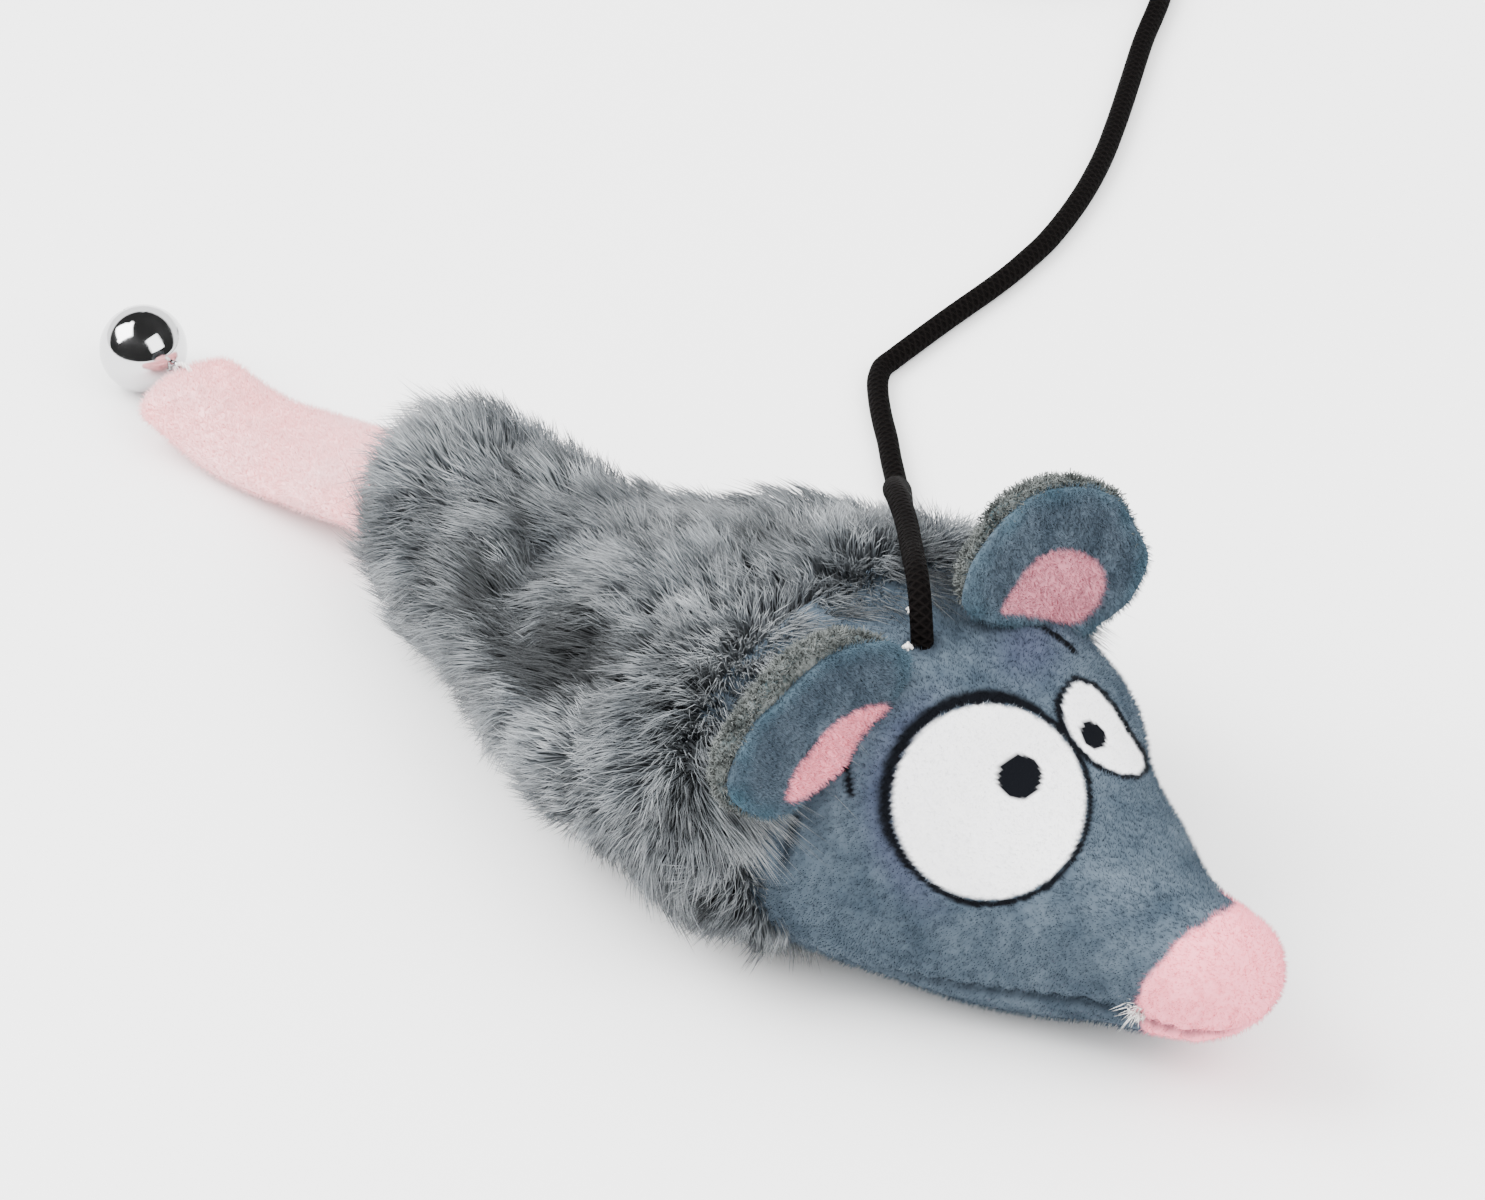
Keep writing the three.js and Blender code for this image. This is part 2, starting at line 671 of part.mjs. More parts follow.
const clearedHead = headForm(-earLift);
for (const [name, side] of [["right", -1], ["left", 1]]) {
  const { front, back } = earLayers(side, earFrames[name], clearedHead);
  addPiece(`ear_front_${name}`, front, printedPlush);
  addPiece(`ear_back_${name}`, back, greyFleece);
}

// Thread end left at the jaw seam, on the right, and thread whipped round the cord at its exit
function jawThreadEnd() {
  const { halfWidth, top, bottom } = headSection(tuftBehindNose);
  const height = jawSeamAtNose + ((jawSeamAtNeck - jawSeamAtNose) * tuftBehindNose) / headLength;
  const share = (height - (top + bottom) / 2) / ((top - bottom) / 2);
  const out = new THREE.Vector3(0, -halfWidth * superHeight(share), height - (top + bottom) / 2);
  const outward = out.clone().normalize();
  const stub = new THREE.CylinderGeometry(tuftTipRadius, tuftRadius, tuftLength, 8);
  const turn = new THREE.Quaternion().setFromUnitVectors(new THREE.Vector3(0, 1, 0), outward);
  const foot = new THREE.Vector3(noseX - tuftBehindNose, out.y, height);
  const middle = foot.addScaledVector(outward, tuftLength / 2 + 2 * gap);
  return solidFrom(stub.applyQuaternion(turn).translate(...middle.toArray()));
}
addPiece("jaw_thread_end", jawThreadEnd().subtract(headForm(-gap)), whiteThread);
const tackRing = new THREE.TorusGeometry(cordRadius + gap + tackRadius, tackRadius, 8, 16);
tackRing.translate(cordExitX, 0, exitTop.z + tackRadius + gap);
addPiece("cord_tack_thread", solidFrom(tackRing), whiteThread);

// Body: the sleeve is a shell, open at its mouth for the head and at the rump for the tail
const hollow = mouthHollow();
const room = tailRoom();
const sleeve = cutToFloor(bodyForm(0)).subtract(bodyForm(furThickness));
addPiece("fur_sleeve", sleeve.subtract(hollow).subtract(room), furCloth);
const bodyFilling = keepSide(
  bodyForm(furThickness + gap),
  new THREE.Vector3(-1, 0, 0),
  new THREE.Vector3(neckX - neckHem, 0, 0),
);
addPiece("body_stuffing", bodyFilling.subtract(neckBall(gap)).subtract(room), stuffingFibre);

// Tail: two layers parted level, with a hole at the tip for the bell's tie
const tieMiddle = new THREE.Vector3(tailTipX, tieY, tieHeight);
const tieHoleX = tailTipX + tieRadius - gap;
const tieHole = rod(
  threadRadius + 2 * gap,
  new THREE.Vector3(tieHoleX, tieY, -overrun),
  new THREE.Vector3(tieHoleX, tieY, tieHeight + overrun),
  12,
);
addPiece("tail_top_panel", tailLayer(1), pinkPlush);
addPiece("tail_bottom_panel", tailLayer(-1), pinkPlush);

// Bell: its loop hangs on a ring of thread through the tail's tip, and it lies on the floor
const tie = new THREE.TorusGeometry(tieRadius, threadRadius, 8, 20).rotateX(Math.PI / 2);
addPiece("bell_thread", solidFrom(tie.translate(...tieMiddle.toArray())), whiteThread);
const bellMiddle = new THREE.Vector3(tailTipX - bellBehindTip, tieY, bellRadius);
const loopMiddle = tieMiddle.clone().add(new THREE.Vector3(-tieRadius, 0, 0));
const bellAxis = loopMiddle.clone().sub(bellMiddle).normalize();
const bellPlace = new THREE.Matrix4()
  .makeBasis(
    new THREE.Vector3(0, -1, 0),
    bellAxis,
    new THREE.Vector3(0, -1, 0).cross(bellAxis),
  )
  .setPosition(bellMiddle);
const loopRing = new THREE.TorusGeometry(loopRadius, loopWire, 8, 20).translate(0, loopOut, 0);
addPiece("bell_loop_shell", bellHalf().add(solidFrom(loopRing)).transform(bellPlace.elements), chrome);

function bellSlots() {
  const depth = bellRadius;
  const long = new THREE.BoxGeometry(slotLength, depth, slotWidth).translate(0, bellRadius, 0);
  const cross = new THREE.BoxGeometry(slotWidth, depth, slotLength).translate(0, bellRadius, 0);
  const half = slotLength / 2;
  const ends = [[half, 0], [-half, 0], [0, half], [0, -half]].map(([x, z]) => {
    const low = new THREE.Vector3(x, depth / 2, z);
    return rod(slotEndRadius, low, new THREE.Vector3(x, bellRadius + overrun, z), 12);
  });
  return ends.reduce((sum, end) => sum.add(end), solidFrom(long).add(solidFrom(cross)));
}
const slottedPlace = bellPlace.clone().multiply(new THREE.Matrix4().makeRotationX(Math.PI));
const slotted = bellHalf().subtract(bellSlots()).transform(slottedPlace.elements);
addPiece("bell_slotted_shell", slotted, chrome);
const pelletHeight = bellWall + gap + pelletRadius;
const pellet = new THREE.SphereGeometry(pelletRadius, 14, 8);
addPiece("bell_pellet", solidFrom(pellet.translate(bellMiddle.x, bellMiddle.y, pelletHeight)), steel);

// A round cord along a curve, its ends square to the curve
function cordTube(curve, steps, sides) {
  const section = new THREE.Shape();
  for (let side = 0; side < sides; side += 1) {
    const angle = (2 * Math.PI * (side + 1 / 2)) / sides;
    section[side ? "lineTo" : "moveTo"](cordRadius * Math.cos(angle), cordRadius * Math.sin(angle));
  }
  section.closePath();
  return new THREE.ExtrudeGeometry(section, { steps, extrudePath: curve, bevelEnabled: false });
}

// Knots are turned barrels with a waist where the cord crosses itself
function knot(radius, length, middle, direction) {
  const profile = knotShares.map(([wide, along]) => {
    return new THREE.Vector2(wide * radius, (along * length) / 2);
  });
  const ends = [new THREE.Vector2(0, -length / 2), ...profile, new THREE.Vector2(0, length / 2)];
  const barrel = new THREE.LatheGeometry(ends, 14);
  const turn = new THREE.Quaternion().setFromUnitVectors(new THREE.Vector3(0, 1, 0), direction);
  return solidFrom(barrel.applyQuaternion(turn).translate(...middle.toArray()));
}
addPiece("cord_anchor_knot", knot(anchorRadius, anchorLength, anchorMiddle, upward), blackElastic);

// The coil: in on the floor, up a layer in half a turn, and out again on top, with straight ends
const coilTurnsEachWay = (coilLoops - 1 / 2) / 2;
const coilOuterRadius = coilMidRadius + (coilPitch * coilTurnsEachWay) / 2;
const coilInnerRadius = coilOuterRadius - coilPitch * coilTurnsEachWay;
const routeEnd = cordRoute[cordRoute.length - 1];
const coilHeading = Math.atan2(coilStart[1] - routeEnd[1], coilStart[0] - routeEnd[0]);
const coilFirstAngle = coilHeading - Math.PI / 2;
const coilMiddle = new THREE.Vector2(...coilStart).sub(
  new THREE.Vector2(Math.cos(coilFirstAngle), Math.sin(coilFirstAngle)).multiplyScalar(coilOuterRadius),
);

function coilPoint(turns) {
  const inward = Math.min(turns, coilTurnsEachWay);
  const outward = Math.max(turns - coilTurnsEachWay - 1 / 2, 0);
  const radius = coilOuterRadius + coilPitch * (outward - inward);
  const climb = THREE.MathUtils.smoothstep(turns, coilTurnsEachWay, coilTurnsEachWay + 1 / 2);
  const angle = coilFirstAngle + 2 * Math.PI * turns;
  return new THREE.Vector3(
    coilMiddle.x + radius * Math.cos(angle),
    coilMiddle.y + radius * Math.sin(angle),
    cordRadius + coilLayer * climb,
  );
}

const headingVector = (angle) => new THREE.Vector3(Math.cos(angle), Math.sin(angle), 0);
const coilEndHeading = coilHeading + 2 * Math.PI * coilLoops;
const coilFront = coilPoint(0).addScaledVector(headingVector(coilHeading), -cordDiameter);
const knotMiddle = coilPoint(coilLoops).addScaledVector(
  headingVector(coilEndHeading),
  endLead + endKnotLength / 2 + gap,
);
knotMiddle.z = endKnotRadius;
const coilBack = knotMiddle
  .clone()
  .addScaledVector(headingVector(coilEndHeading), -endKnotLength / 2 - gap);
const coilPoints = evenSteps(0, coilLoops, coilLoops * coilStepsPerLoop).map(coilPoint);
const beforeBack = coilBack.clone().addScaledVector(headingVector(coilEndHeading), -cordDiameter);
const levelEnd = coilPoint(coilLoops).addScaledVector(headingVector(coilEndHeading), endLevel);
const coilCurve = new THREE.CatmullRomCurve3([
  coilFront,
  ...coilPoints,
  levelEnd,
  beforeBack,
  coilBack,
]);
coilCurve.curveType = "centripetal";
coilCurve.arcLengthDivisions = coilPoints.length * 8;

// The least distance between two stretches of a curve that lie over a loop's quarter apart along it
function leastGap(curve, count) {
  const points = curve.getSpacedPoints(count);
  const apart = Math.ceil((coilInnerRadius * count) / curve.getLength());
  let least = Infinity;
  points.forEach((point, index) => {
    for (let other = index + apart; other < points.length; other += 1) {
      least = Math.min(least, point.distanceTo(points[other]));
    }
  });
  return least - cordDiameter;
}

const freeEnd = coilFront.clone().addScaledVector(headingVector(coilHeading), -gap);
const freeStart = anchorMiddle.clone().addScaledVector(upward, anchorLength / 2 + gap);
const freeCurve = new THREE.CatmullRomCurve3([
  freeStart,
  exitTop,
  ...cordRoute.map((place) => new THREE.Vector3(...place)),
  freeEnd,
]);
freeCurve.curveType = "centripetal";
freeCurve.arcLengthDivisions = cordSteps * 8;
addPiece("elastic_cord", cordTube(freeCurve, cordSteps, cordSides), blackElastic);
const coilSteps = coilLoops * coilStepsPerLoop + 6;
addPiece("cord_coil", cordTube(coilCurve, coilSteps, coilSides), blackElastic);
const knotDirection = headingVector(coilEndHeading);
addPiece("end_knot", knot(endKnotRadius, endKnotLength, knotMiddle, knotDirection), blackElastic);

// The hanging loop leaves the end knot, swells out and comes back to it
const sideways = new THREE.Vector3(-knotDirection.y, knotDirection.x, 0);
const loopRoot = knotMiddle.clone().addScaledVector(knotDirection, endKnotLength / 2 + gap);
const rootOut = cordRadius + gap;
const endLoopPoints = evenSteps(0, Math.PI, endLoopSteps).map((turn) => {
  const reach = endLoopLength * Math.sin(turn);
  const swell = -(rootOut + endLoopSwell * Math.sin(turn)) * Math.cos(turn);
  const point = loopRoot.clone().addScaledVector(knotDirection, reach);
  point.addScaledVector(sideways, swell);
  point.z = cordRadius + (loopRoot.z - cordRadius) * (1 - Math.sin(turn)) ** 2;
  return point;
});
const endLoopCurve = new THREE.CatmullRomCurve3(endLoopPoints);
addPiece("end_loop", cordTube(endLoopCurve, endLoopSteps, cordSides), blackElastic);

console.log(`cord ${freeCurve.getLength().toFixed(1)} mm free, ${coilCurve.getLength().toFixed(1)} mm coiled`);
console.log(`least gap of the coil to itself ${leastGap(coilCurve, 1200).toFixed(2)} mm`);

export default toyGroup;
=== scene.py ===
# Plush cat toy in the shape of a rat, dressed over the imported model. Sizes in the dictionaries are millimetres.
import math
import bpy
import numpy as np
from mathutils import Matrix, Vector
from mathutils.kdtree import KDTree


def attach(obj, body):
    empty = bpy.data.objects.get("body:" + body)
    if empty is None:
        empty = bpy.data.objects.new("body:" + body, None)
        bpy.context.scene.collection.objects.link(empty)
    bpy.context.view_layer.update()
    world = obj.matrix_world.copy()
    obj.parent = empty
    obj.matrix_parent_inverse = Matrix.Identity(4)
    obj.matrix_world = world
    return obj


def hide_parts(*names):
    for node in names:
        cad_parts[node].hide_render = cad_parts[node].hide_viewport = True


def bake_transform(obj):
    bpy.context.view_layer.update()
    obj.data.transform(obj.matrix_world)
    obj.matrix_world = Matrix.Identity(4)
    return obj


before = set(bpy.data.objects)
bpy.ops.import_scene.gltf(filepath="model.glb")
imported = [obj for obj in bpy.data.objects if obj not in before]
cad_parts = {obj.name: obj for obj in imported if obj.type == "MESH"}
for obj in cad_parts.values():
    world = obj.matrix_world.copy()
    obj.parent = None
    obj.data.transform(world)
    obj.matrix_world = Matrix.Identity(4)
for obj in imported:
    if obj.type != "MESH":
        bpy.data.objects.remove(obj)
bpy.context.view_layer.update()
mm = 0.001
chance = np.random.default_rng(11)
noseX, neckX, rumpX = 120.294, 46.294, -57.706


# small helpers
def setInputs(tree, node, values):
    # each input gets its value, or a link where the value is another node's output
    for name, value in values.items():
        socket = node.inputs[name]
        if isinstance(value, bpy.types.NodeSocket):
            tree.links.new(value, socket)
        else:
            socket.default_value = (*value, 1) if socket.type == "RGBA" and len(value) == 3 else value


def makeMaterial(name, color, roughness, **more):
    material = bpy.data.materials.new(name)
    material.use_nodes = True
    tree = material.node_tree
    shader = tree.nodes["Principled BSDF"]
    setInputs(tree, shader, {"Base Color": color, "Roughness": roughness, **more})
    return material, tree, shader


def addNode(tree, kind, values=None, **settings):
    node = tree.nodes.new("ShaderNode" + kind)
    for name, value in settings.items():
        setattr(node, name, value)
    setInputs(tree, node, values or {})
    return node


def mixColor(tree, factor, first, second, blend="MIX"):
    return addNode(tree, "Mix", {0: factor, 6: first, 7: second}, data_type="RGBA", blend_type=blend).outputs[2]


def mathNode(tree, operation, first, second=0.0, clamp=False):
    return addNode(tree, "Math", {0: first, 1: second}, operation=operation, use_clamp=clamp).outputs[0]


def mapRange(tree, value, span, target=(0.0, 1.0), **settings):
    ends = {"From Min": span[0], "From Max": span[1], "To Min": target[0], "To Max": target[1]}
    return addNode(tree, "MapRange", {"Value": value, **ends}, **settings).outputs[0]


def readAttribute(tree, label, output="Fac"):
    return addNode(tree, "Attribute", attribute_name=label).outputs[output]


def objectPlace(tree):
    return addNode(tree, "TexCoord").outputs["Object"]


def objectNoise(tree, **values):
    return addNode(tree, "TexNoise", {"Vector": objectPlace(tree), **values}).outputs[0]


def addBump(tree, height, strength, distance):
    return addNode(tree, "Bump", {"Height": height, "Strength": strength, "Distance": distance}).outputs[0]


def makeGroup(name, inputs, outputs):
    group = bpy.data.node_groups.new(name, "ShaderNodeTree")
    for label, kind, value in inputs:
        socket = group.interface.new_socket(name=label, in_out="INPUT", socket_type="NodeSocket" + kind)
        socket.default_value = value
    for label, kind in outputs:
        group.interface.new_socket(name=label, in_out="OUTPUT", socket_type="NodeSocket" + kind)
    return group, group.nodes.new("NodeGroupInput"), group.nodes.new("NodeGroupOutput")


def meshFrom(name, points, faces, material, body, attributes=None):
    # points in millimetres, faces as one array of equal-sided faces or a list of such arrays
    faces = [np.asarray(block) for block in (faces if isinstance(faces, list) else [faces])]
    mesh = bpy.data.meshes.new(name)
    sizes = np.concatenate([np.full(len(block), block.shape[1]) for block in faces])
    corners = np.concatenate([block.ravel() for block in faces])
    mesh.vertices.add(len(points))
    mesh.vertices.foreach_set("co", (np.asarray(points) * mm).astype(np.float32).ravel())
    mesh.loops.add(len(corners))
    mesh.loops.foreach_set("vertex_index", corners.astype(np.int32))
    mesh.polygons.add(len(sizes))
    mesh.polygons.foreach_set("loop_start", (np.cumsum(sizes) - sizes).astype(np.int32))
    mesh.update(calc_edges=True)
    mesh.validate()
    for label, values in (attributes or {}).items():
        setAttribute(mesh, label, values)
    piece = bpy.data.objects.new(name, mesh)
    bpy.context.scene.collection.objects.link(piece)
    mesh.materials.append(material)
    mesh.polygons.foreach_set("use_smooth", np.full(len(sizes), True))
    if body:
        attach(piece, body)
    return piece


def setAttribute(mesh, label, values):
    values = np.asarray(values, np.float32)
    if values.ndim == 1:
        mesh.attributes.new(label, "FLOAT", "POINT").data.foreach_set("value", values)
    else:
        colors = np.c_[values, np.ones(len(values), np.float32)]
        mesh.attributes.new(label, "FLOAT_COLOR", "POINT").data.foreach_set("color", colors.ravel())


def gridFaces(rows, columns, wrap=False):
    # quads of a grid whose points run row by row; outward when rows x columns turn outward
    across = np.arange(columns if wrap else columns - 1)
    row = np.arange(rows - 1)[:, None]
    near, far = row * columns + across, row * columns + (across + 1) % columns
    return np.stack([near, near + columns, far + columns, far], -1).reshape(-1, 4)


def facesAlong(points, faces, ways):
    # the faces, turned round if they look against the ways
    turning = np.cross(points[faces[:, 1]] - points[faces[:, 0]], points[faces[:, 3]] - points[faces[:, 0]])
    return faces if np.sum(turning * ways) >= 0 else faces[:, ::-1]


def gridNormals(grid, ways):
    normals = unit(np.cross(np.gradient(grid, axis=0), np.gradient(grid, axis=1)))
    return normals if np.sum(normals * ways) >= 0 else -normals


def deselectAll():
    if bpy.context.object and bpy.context.object.mode != "OBJECT":
        bpy.ops.object.mode_set(mode="OBJECT")
    bpy.ops.object.select_all(action="DESELECT")


def workOn(piece):
    deselectAll()
    piece.select_set(True)
    bpy.context.view_layer.objects.active = piece


def applyModifier(piece, kind, **settings):
    workOn(piece)
    modifier = piece.modifiers.new(kind.lower(), kind)
    for name, value in settings.items():
        setattr(modifier, name, value)
    bpy.ops.object.modifier_apply(modifier=modifier.name)


def editMesh(piece, action, **settings):
    workOn(piece)
    bpy.ops.object.mode_set(mode="EDIT")
    bpy.ops.mesh.select_all(action="SELECT")
    action(**settings)
    bpy.ops.object.mode_set(mode="OBJECT")


def treeOf(points):
    tree = KDTree(len(points))
    for index, place in enumerate(points):
        tree.insert(place, index)
    tree.balance()
    return tree


def finishPiece(piece, name, material, body, angle=40):
    # names it, puts its place into its mesh, and smooths it
    workOn(piece)
    bpy.ops.object.transform_apply(location=True, rotation=True, scale=True)
    piece.name = piece.data.name = name
    piece.data.materials.clear()
    piece.data.materials.append(material)
    bpy.ops.object.shade_smooth_by_angle(angle=math.radians(angle))
    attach(piece, body)
    return piece


def addRing(place, radius, wire, segments, sides):
    # a ring of round wire, upright and across the toy
    deselectAll()
    bpy.ops.mesh.primitive_torus_add(location=np.array(place) * mm, rotation=(math.pi / 2, 0, 0),
                                     major_radius=radius * mm, minor_radius=wire * mm, major_segments=segments,
                                     minor_segments=sides)
    return bpy.context.object


def unit(vectors):
    return vectors / np.maximum(np.linalg.norm(vectors, axis=-1, keepdims=True), 1e-9)


def lengthsAlong(path):
    return np.r_[0, np.cumsum(np.linalg.norm(np.diff(path, axis=0), axis=1))]


def readShare(table, column, along):
    rows, values = np.array(table, float)[:, 0], np.array(table, float)[:, column]
    at = np.clip(np.searchsorted(rows, along, side="left") - 1, 0, len(rows) - 2)
    before, after = np.maximum(at - 1, 0), np.minimum(at + 2, len(rows) - 1)
    span = rows[at + 1] - rows[at]
    t = (along - rows[at]) / span
    startSlope = (values[at + 1] - values[before]) / np.maximum(rows[at + 1] - rows[before], span) * span
    endSlope = (values[after] - values[at]) / np.maximum(rows[after] - rows[at], span) * span
    rise = values[at + 1] - values[at]
    curve = 3 * rise - 2 * startSlope - endSlope
    return values[at] + startSlope * t + curve * t**2 + (startSlope + endSlope - 2 * rise) * t**3


def softPower(value, fullness=2.25):
    return np.sign(value) * np.abs(value) ** (2 / fullness)


def roundedShare(distance, round):
    return np.sqrt(np.clip(1 - np.maximum(1 - distance / round, 0) ** 2, 0, 1))


def softWaves(points, size, seed, count=9):
    # smooth lumps between -1 and 1, `size` millimetres across
    waves = np.random.default_rng(seed)
    ways = unit(waves.normal(size=(count, 3))) * waves.uniform(0.6, 1.5, (count, 1)) * 2 * np.pi / size
    return np.sin(points @ ways.T + waves.uniform(0, 6.3, count)).sum(-1) / math.sqrt(count) / 1.4


# camera, floor and light
photoView = {"azimuth": 43, "elevation": 39, "distance": 1500, "middle": (742.5, 600), "nosePixel": (1262, 1100),
             "pixelsPerUnit": 11100, "lens": 269.95, "sensor": 36, "width": 1485, "clip": (0.01, 20)}


def placeCamera():
    azimuth, elevation = math.radians(photoView["azimuth"]), math.radians(photoView["elevation"])
    flat = math.cos(elevation)
    back = Vector((math.sin(azimuth) * flat, -math.cos(azimuth) * flat, math.sin(elevation)))
    right = Vector((math.cos(azimuth), math.sin(azimuth), 0))
    up = back.cross(right)
    (middleX, middleY), (pixelX, pixelY), scale = (photoView[key] for key in ("middle", "nosePixel", "pixelsPerUnit"))
    ahead = (-back + right * (middleX - pixelX) / scale + up * (pixelY - middleY) / scale).normalized()
    side = (right - ahead * right.dot(ahead)).normalized()
    turn = Matrix((side, side.cross(ahead), -ahead)).transposed().to_4x4()
    place = Vector((noseX, 0, 0)) * mm + back * photoView["distance"] * mm
    bpy.ops.object.camera_add()
    camera = bpy.context.object
    camera.name = "photoCamera"
    camera.matrix_world = Matrix.Translation(place) @ turn
    camera.data.lens, camera.data.sensor_width = photoView["lens"], photoView["sensor"]
    camera.data.sensor_fit = "HORIZONTAL"
    camera.data.clip_start, camera.data.clip_end = photoView["clip"]
    bpy.context.scene.camera = camera
    return np.array(turn.to_3x3()), np.array(place) / mm


cameraTurn, cameraPlace = placeCamera()


def toPixel(points):
    # where points in millimetres fall in the photograph's frame
    local = (np.asarray(points) - cameraPlace) @ cameraTurn
    scale = photoView["lens"] / photoView["sensor"] * photoView["width"] / -local[..., 2]
    (middleX, middleY) = photoView["middle"]
    return np.stack([middleX + local[..., 0] * scale, middleY - local[..., 1] * scale], -1)


studio = {"floorTone": 0.92, "floorSize": 14, "skyPower": 2.7, "skyLow": 0.3, "skyHigh": 1.25, "skyClimb": (0.0, 0.8),
          "ceilingTone": 0.02, "ceiling": (0.22, 0.3), "ceilingMiddle": (0.199, -0.214, 0.956),
          "ceilingSide": (0.731, 0.682, 0), "lampSize": 1.0, "lampReach": 1.4,
          "lamps": {"keyLight": ((-0.563, -0.403, 0.72), 42.0), "fillLight": ((0.751, 0.038, 0.657), 20.0)}}


def makeStudio():
    deselectAll()
    bpy.ops.mesh.primitive_plane_add(size=studio["floorSize"], location=(0, 0, 0))
    floor = bpy.context.object
    floor.name = "studioFloor"
    floor.data.materials.append(makeMaterial("studioFloor", (studio["floorTone"],) * 3, 0.9)[0])
    for name, (way, power) in studio["lamps"].items():
        bpy.ops.object.light_add(type="AREA", location=Vector(way) * studio["lampReach"])
        light = bpy.context.object
        light.name = name
        light.data.energy, light.data.size = power, studio["lampSize"]
        light.rotation_euler = (-Vector(way)).to_track_quat("-Z", "Y").to_euler()
    world = bpy.data.worlds.new("studioWorld")
    world.use_nodes = True
    tree = world.node_tree
    way = addNode(tree, "TexCoord").outputs["Generated"]
    height = addNode(tree, "SeparateXYZ", {0: way}).outputs[2]
    climb = mapRange(tree, height, studio["skyClimb"], interpolation_type="SMOOTHSTEP")
    toward, aside = (addNode(tree, "VectorMath", {0: way, 1: studio[key]}, operation="DOT_PRODUCT").outputs["Value"]
                     for key in ("ceilingMiddle", "ceilingSide"))
    narrow = mathNode(tree, "SUBTRACT", 1.01, mathNode(tree, "MULTIPLY", aside, aside))
    rise = mathNode(tree, "DIVIDE", toward, mathNode(tree, "SQRT", narrow))
    ceiling = mapRange(tree, rise, studio["ceiling"], interpolation_type="SMOOTHSTEP")
    soft = mixColor(tree, climb, (studio["skyLow"],) * 3, (studio["skyHigh"],) * 3)  # mostly from above
    mirrored = mixColor(tree, ceiling, (1, 1, 1), (studio["ceilingTone"],) * 3)  # what the bell mirrors
    glossy = addNode(tree, "LightPath").outputs["Is Glossy Ray"]
    setInputs(tree, tree.nodes["Background"], {"Strength": studio["skyPower"],
                                               "Color": mixColor(tree, glossy, soft, mirrored)})
    bpy.context.scene.world = world


makeStudio()
print("camera, floor and light are in place")


# cord, its coil, end knot and end loop
cordSize = {"diameter": 3.2, "spacing": 0.6, "sides": 16, "tone": (0.0022, 0.0018, 0.0018), "insideHead": 3.5,
            "coilLoops": 5, "coilMidRadius": 18, "coilPitch": 4.3, "coilLayer": 4.3, "stepsPerLoop": 24,
            "endLead": 26, "endLevel": 7, "knotRadius": 4, "knotLength": 8, "knotGap": 0.3, "knotSize": 0.8,
            "knotReach": 2.1, "knotSteps": 120, "knotSides": 14, "loopLength": 34, "loopBend": 6.6,
            "threadTurns": 5.0, "threadPitch": 2.6, "worn": (0.008, 0.0065, 0.006)}
cordExit = np.array([57.294, 0, 44.474])
cordRoute = np.array([
    [56.7, 0.5, 47.8], [54.9, 2.1, 50.2], [52.0, 4.6, 51.0], [48.2, 7.8, 50.3], [44.5, 11.0, 49.0],
    [40.6, 14.4, 47.8], [36.9, 17.4, 46.9], [32.9, 20.4, 45.8], [28.7, 23.6, 43.9], [25.1, 27.4, 40.6],
    [21.8, 31.6, 36.3], [18.9, 34.8, 30.9], [17.0, 37.0, 24.3], [15.3, 38.6, 16.5], [12.3, 41.6, 8.6],
    [7.2, 46.9, 3.2], [0.2, 54.0, 1.7],
    [-8.0, 61.5, 1.6], [-14.5, 66.7, 1.6], [-18.5, 69.8, 1.6], [-22.4, 73.0, 1.6],
    [-26.5, 76.1, 1.6], [-30.4, 79.3, 1.6], [-33.2, 81.9, 1.6], [-34.5, 83.4, 1.6], [-35.8, 85.6, 1.6],
    [-36.1, 88.0, 1.6], [-36.6, 92.5, 1.6], [-37.4, 100.6, 1.6], [-38.5, 113.7, 1.6], [-39.5, 119.9, 1.6],
    [-40.8, 125.8, 1.6], [-44.7, 136.6, 1.6], [-49.6, 146.6, 1.6], [-55.3, 156.0, 1.6], [-61.3, 165.2, 1.6],
    [-67.4, 174.5, 1.6], [-73.2, 184.3, 1.6], [-78.6, 192.0, 1.6],
])
coilStart = np.array([-84.6, 204.6])


def smoothPath(points, spacing):
    # an even walk along a centripetal curve through the points
    points = np.asarray(points, float)
    padded = np.vstack([2 * points[0] - points[1], points, 2 * points[-1] - points[-2]])
    root = np.sqrt(np.maximum(np.linalg.norm(np.diff(padded, axis=0), axis=1), 1e-6))[:, None]
    t = np.linspace(0, 1, 24, endpoint=False)[:, None, None]
    p0, p1, p2, p3 = padded[:-3], padded[1:-2], padded[2:-1], padded[3:]
    d0, d1, d2 = root[:-2], root[1:-1], root[2:]
    m1 = ((p1 - p0) / d0 - (p2 - p0) / (d0 + d1) + (p2 - p1) / d1) * d1
    m2 = ((p2 - p1) / d1 - (p3 - p1) / (d1 + d2) + (p3 - p2) / d2) * d1
    walk = p1 + m1 * t + (3 * (p2 - p1) - 2 * m1 - m2) * t**2 + (2 * (p1 - p2) + m1 + m2) * t**3
    walk = np.vstack([walk.transpose(1, 0, 2).reshape(-1, 3), points[-1:]])
    along = lengthsAlong(walk)
    steps = np.linspace(0, along[-1], max(int(round(along[-1] / spacing)), 2) + 1)
    return np.stack([np.interp(steps, along, walk[:, axis]) for axis in range(3)], -1)


def tubeRings(path, radius, sides):
    # rings square to the path that don't twist along it
    ways = unit(np.gradient(path, axis=0))
    side = unit(np.cross(ways[0], (0.3, 0.2, 0.9)))
    rings = []
    for way, middle in zip(ways, path):
        side = unit(side - way * (side @ way))
        angle = np.linspace(0, 2 * np.pi, sides, endpoint=False)[:, None]
        rings.append(middle + radius * (np.cos(angle) * side + np.sin(angle) * np.cross(way, side)))
    return np.array(rings)


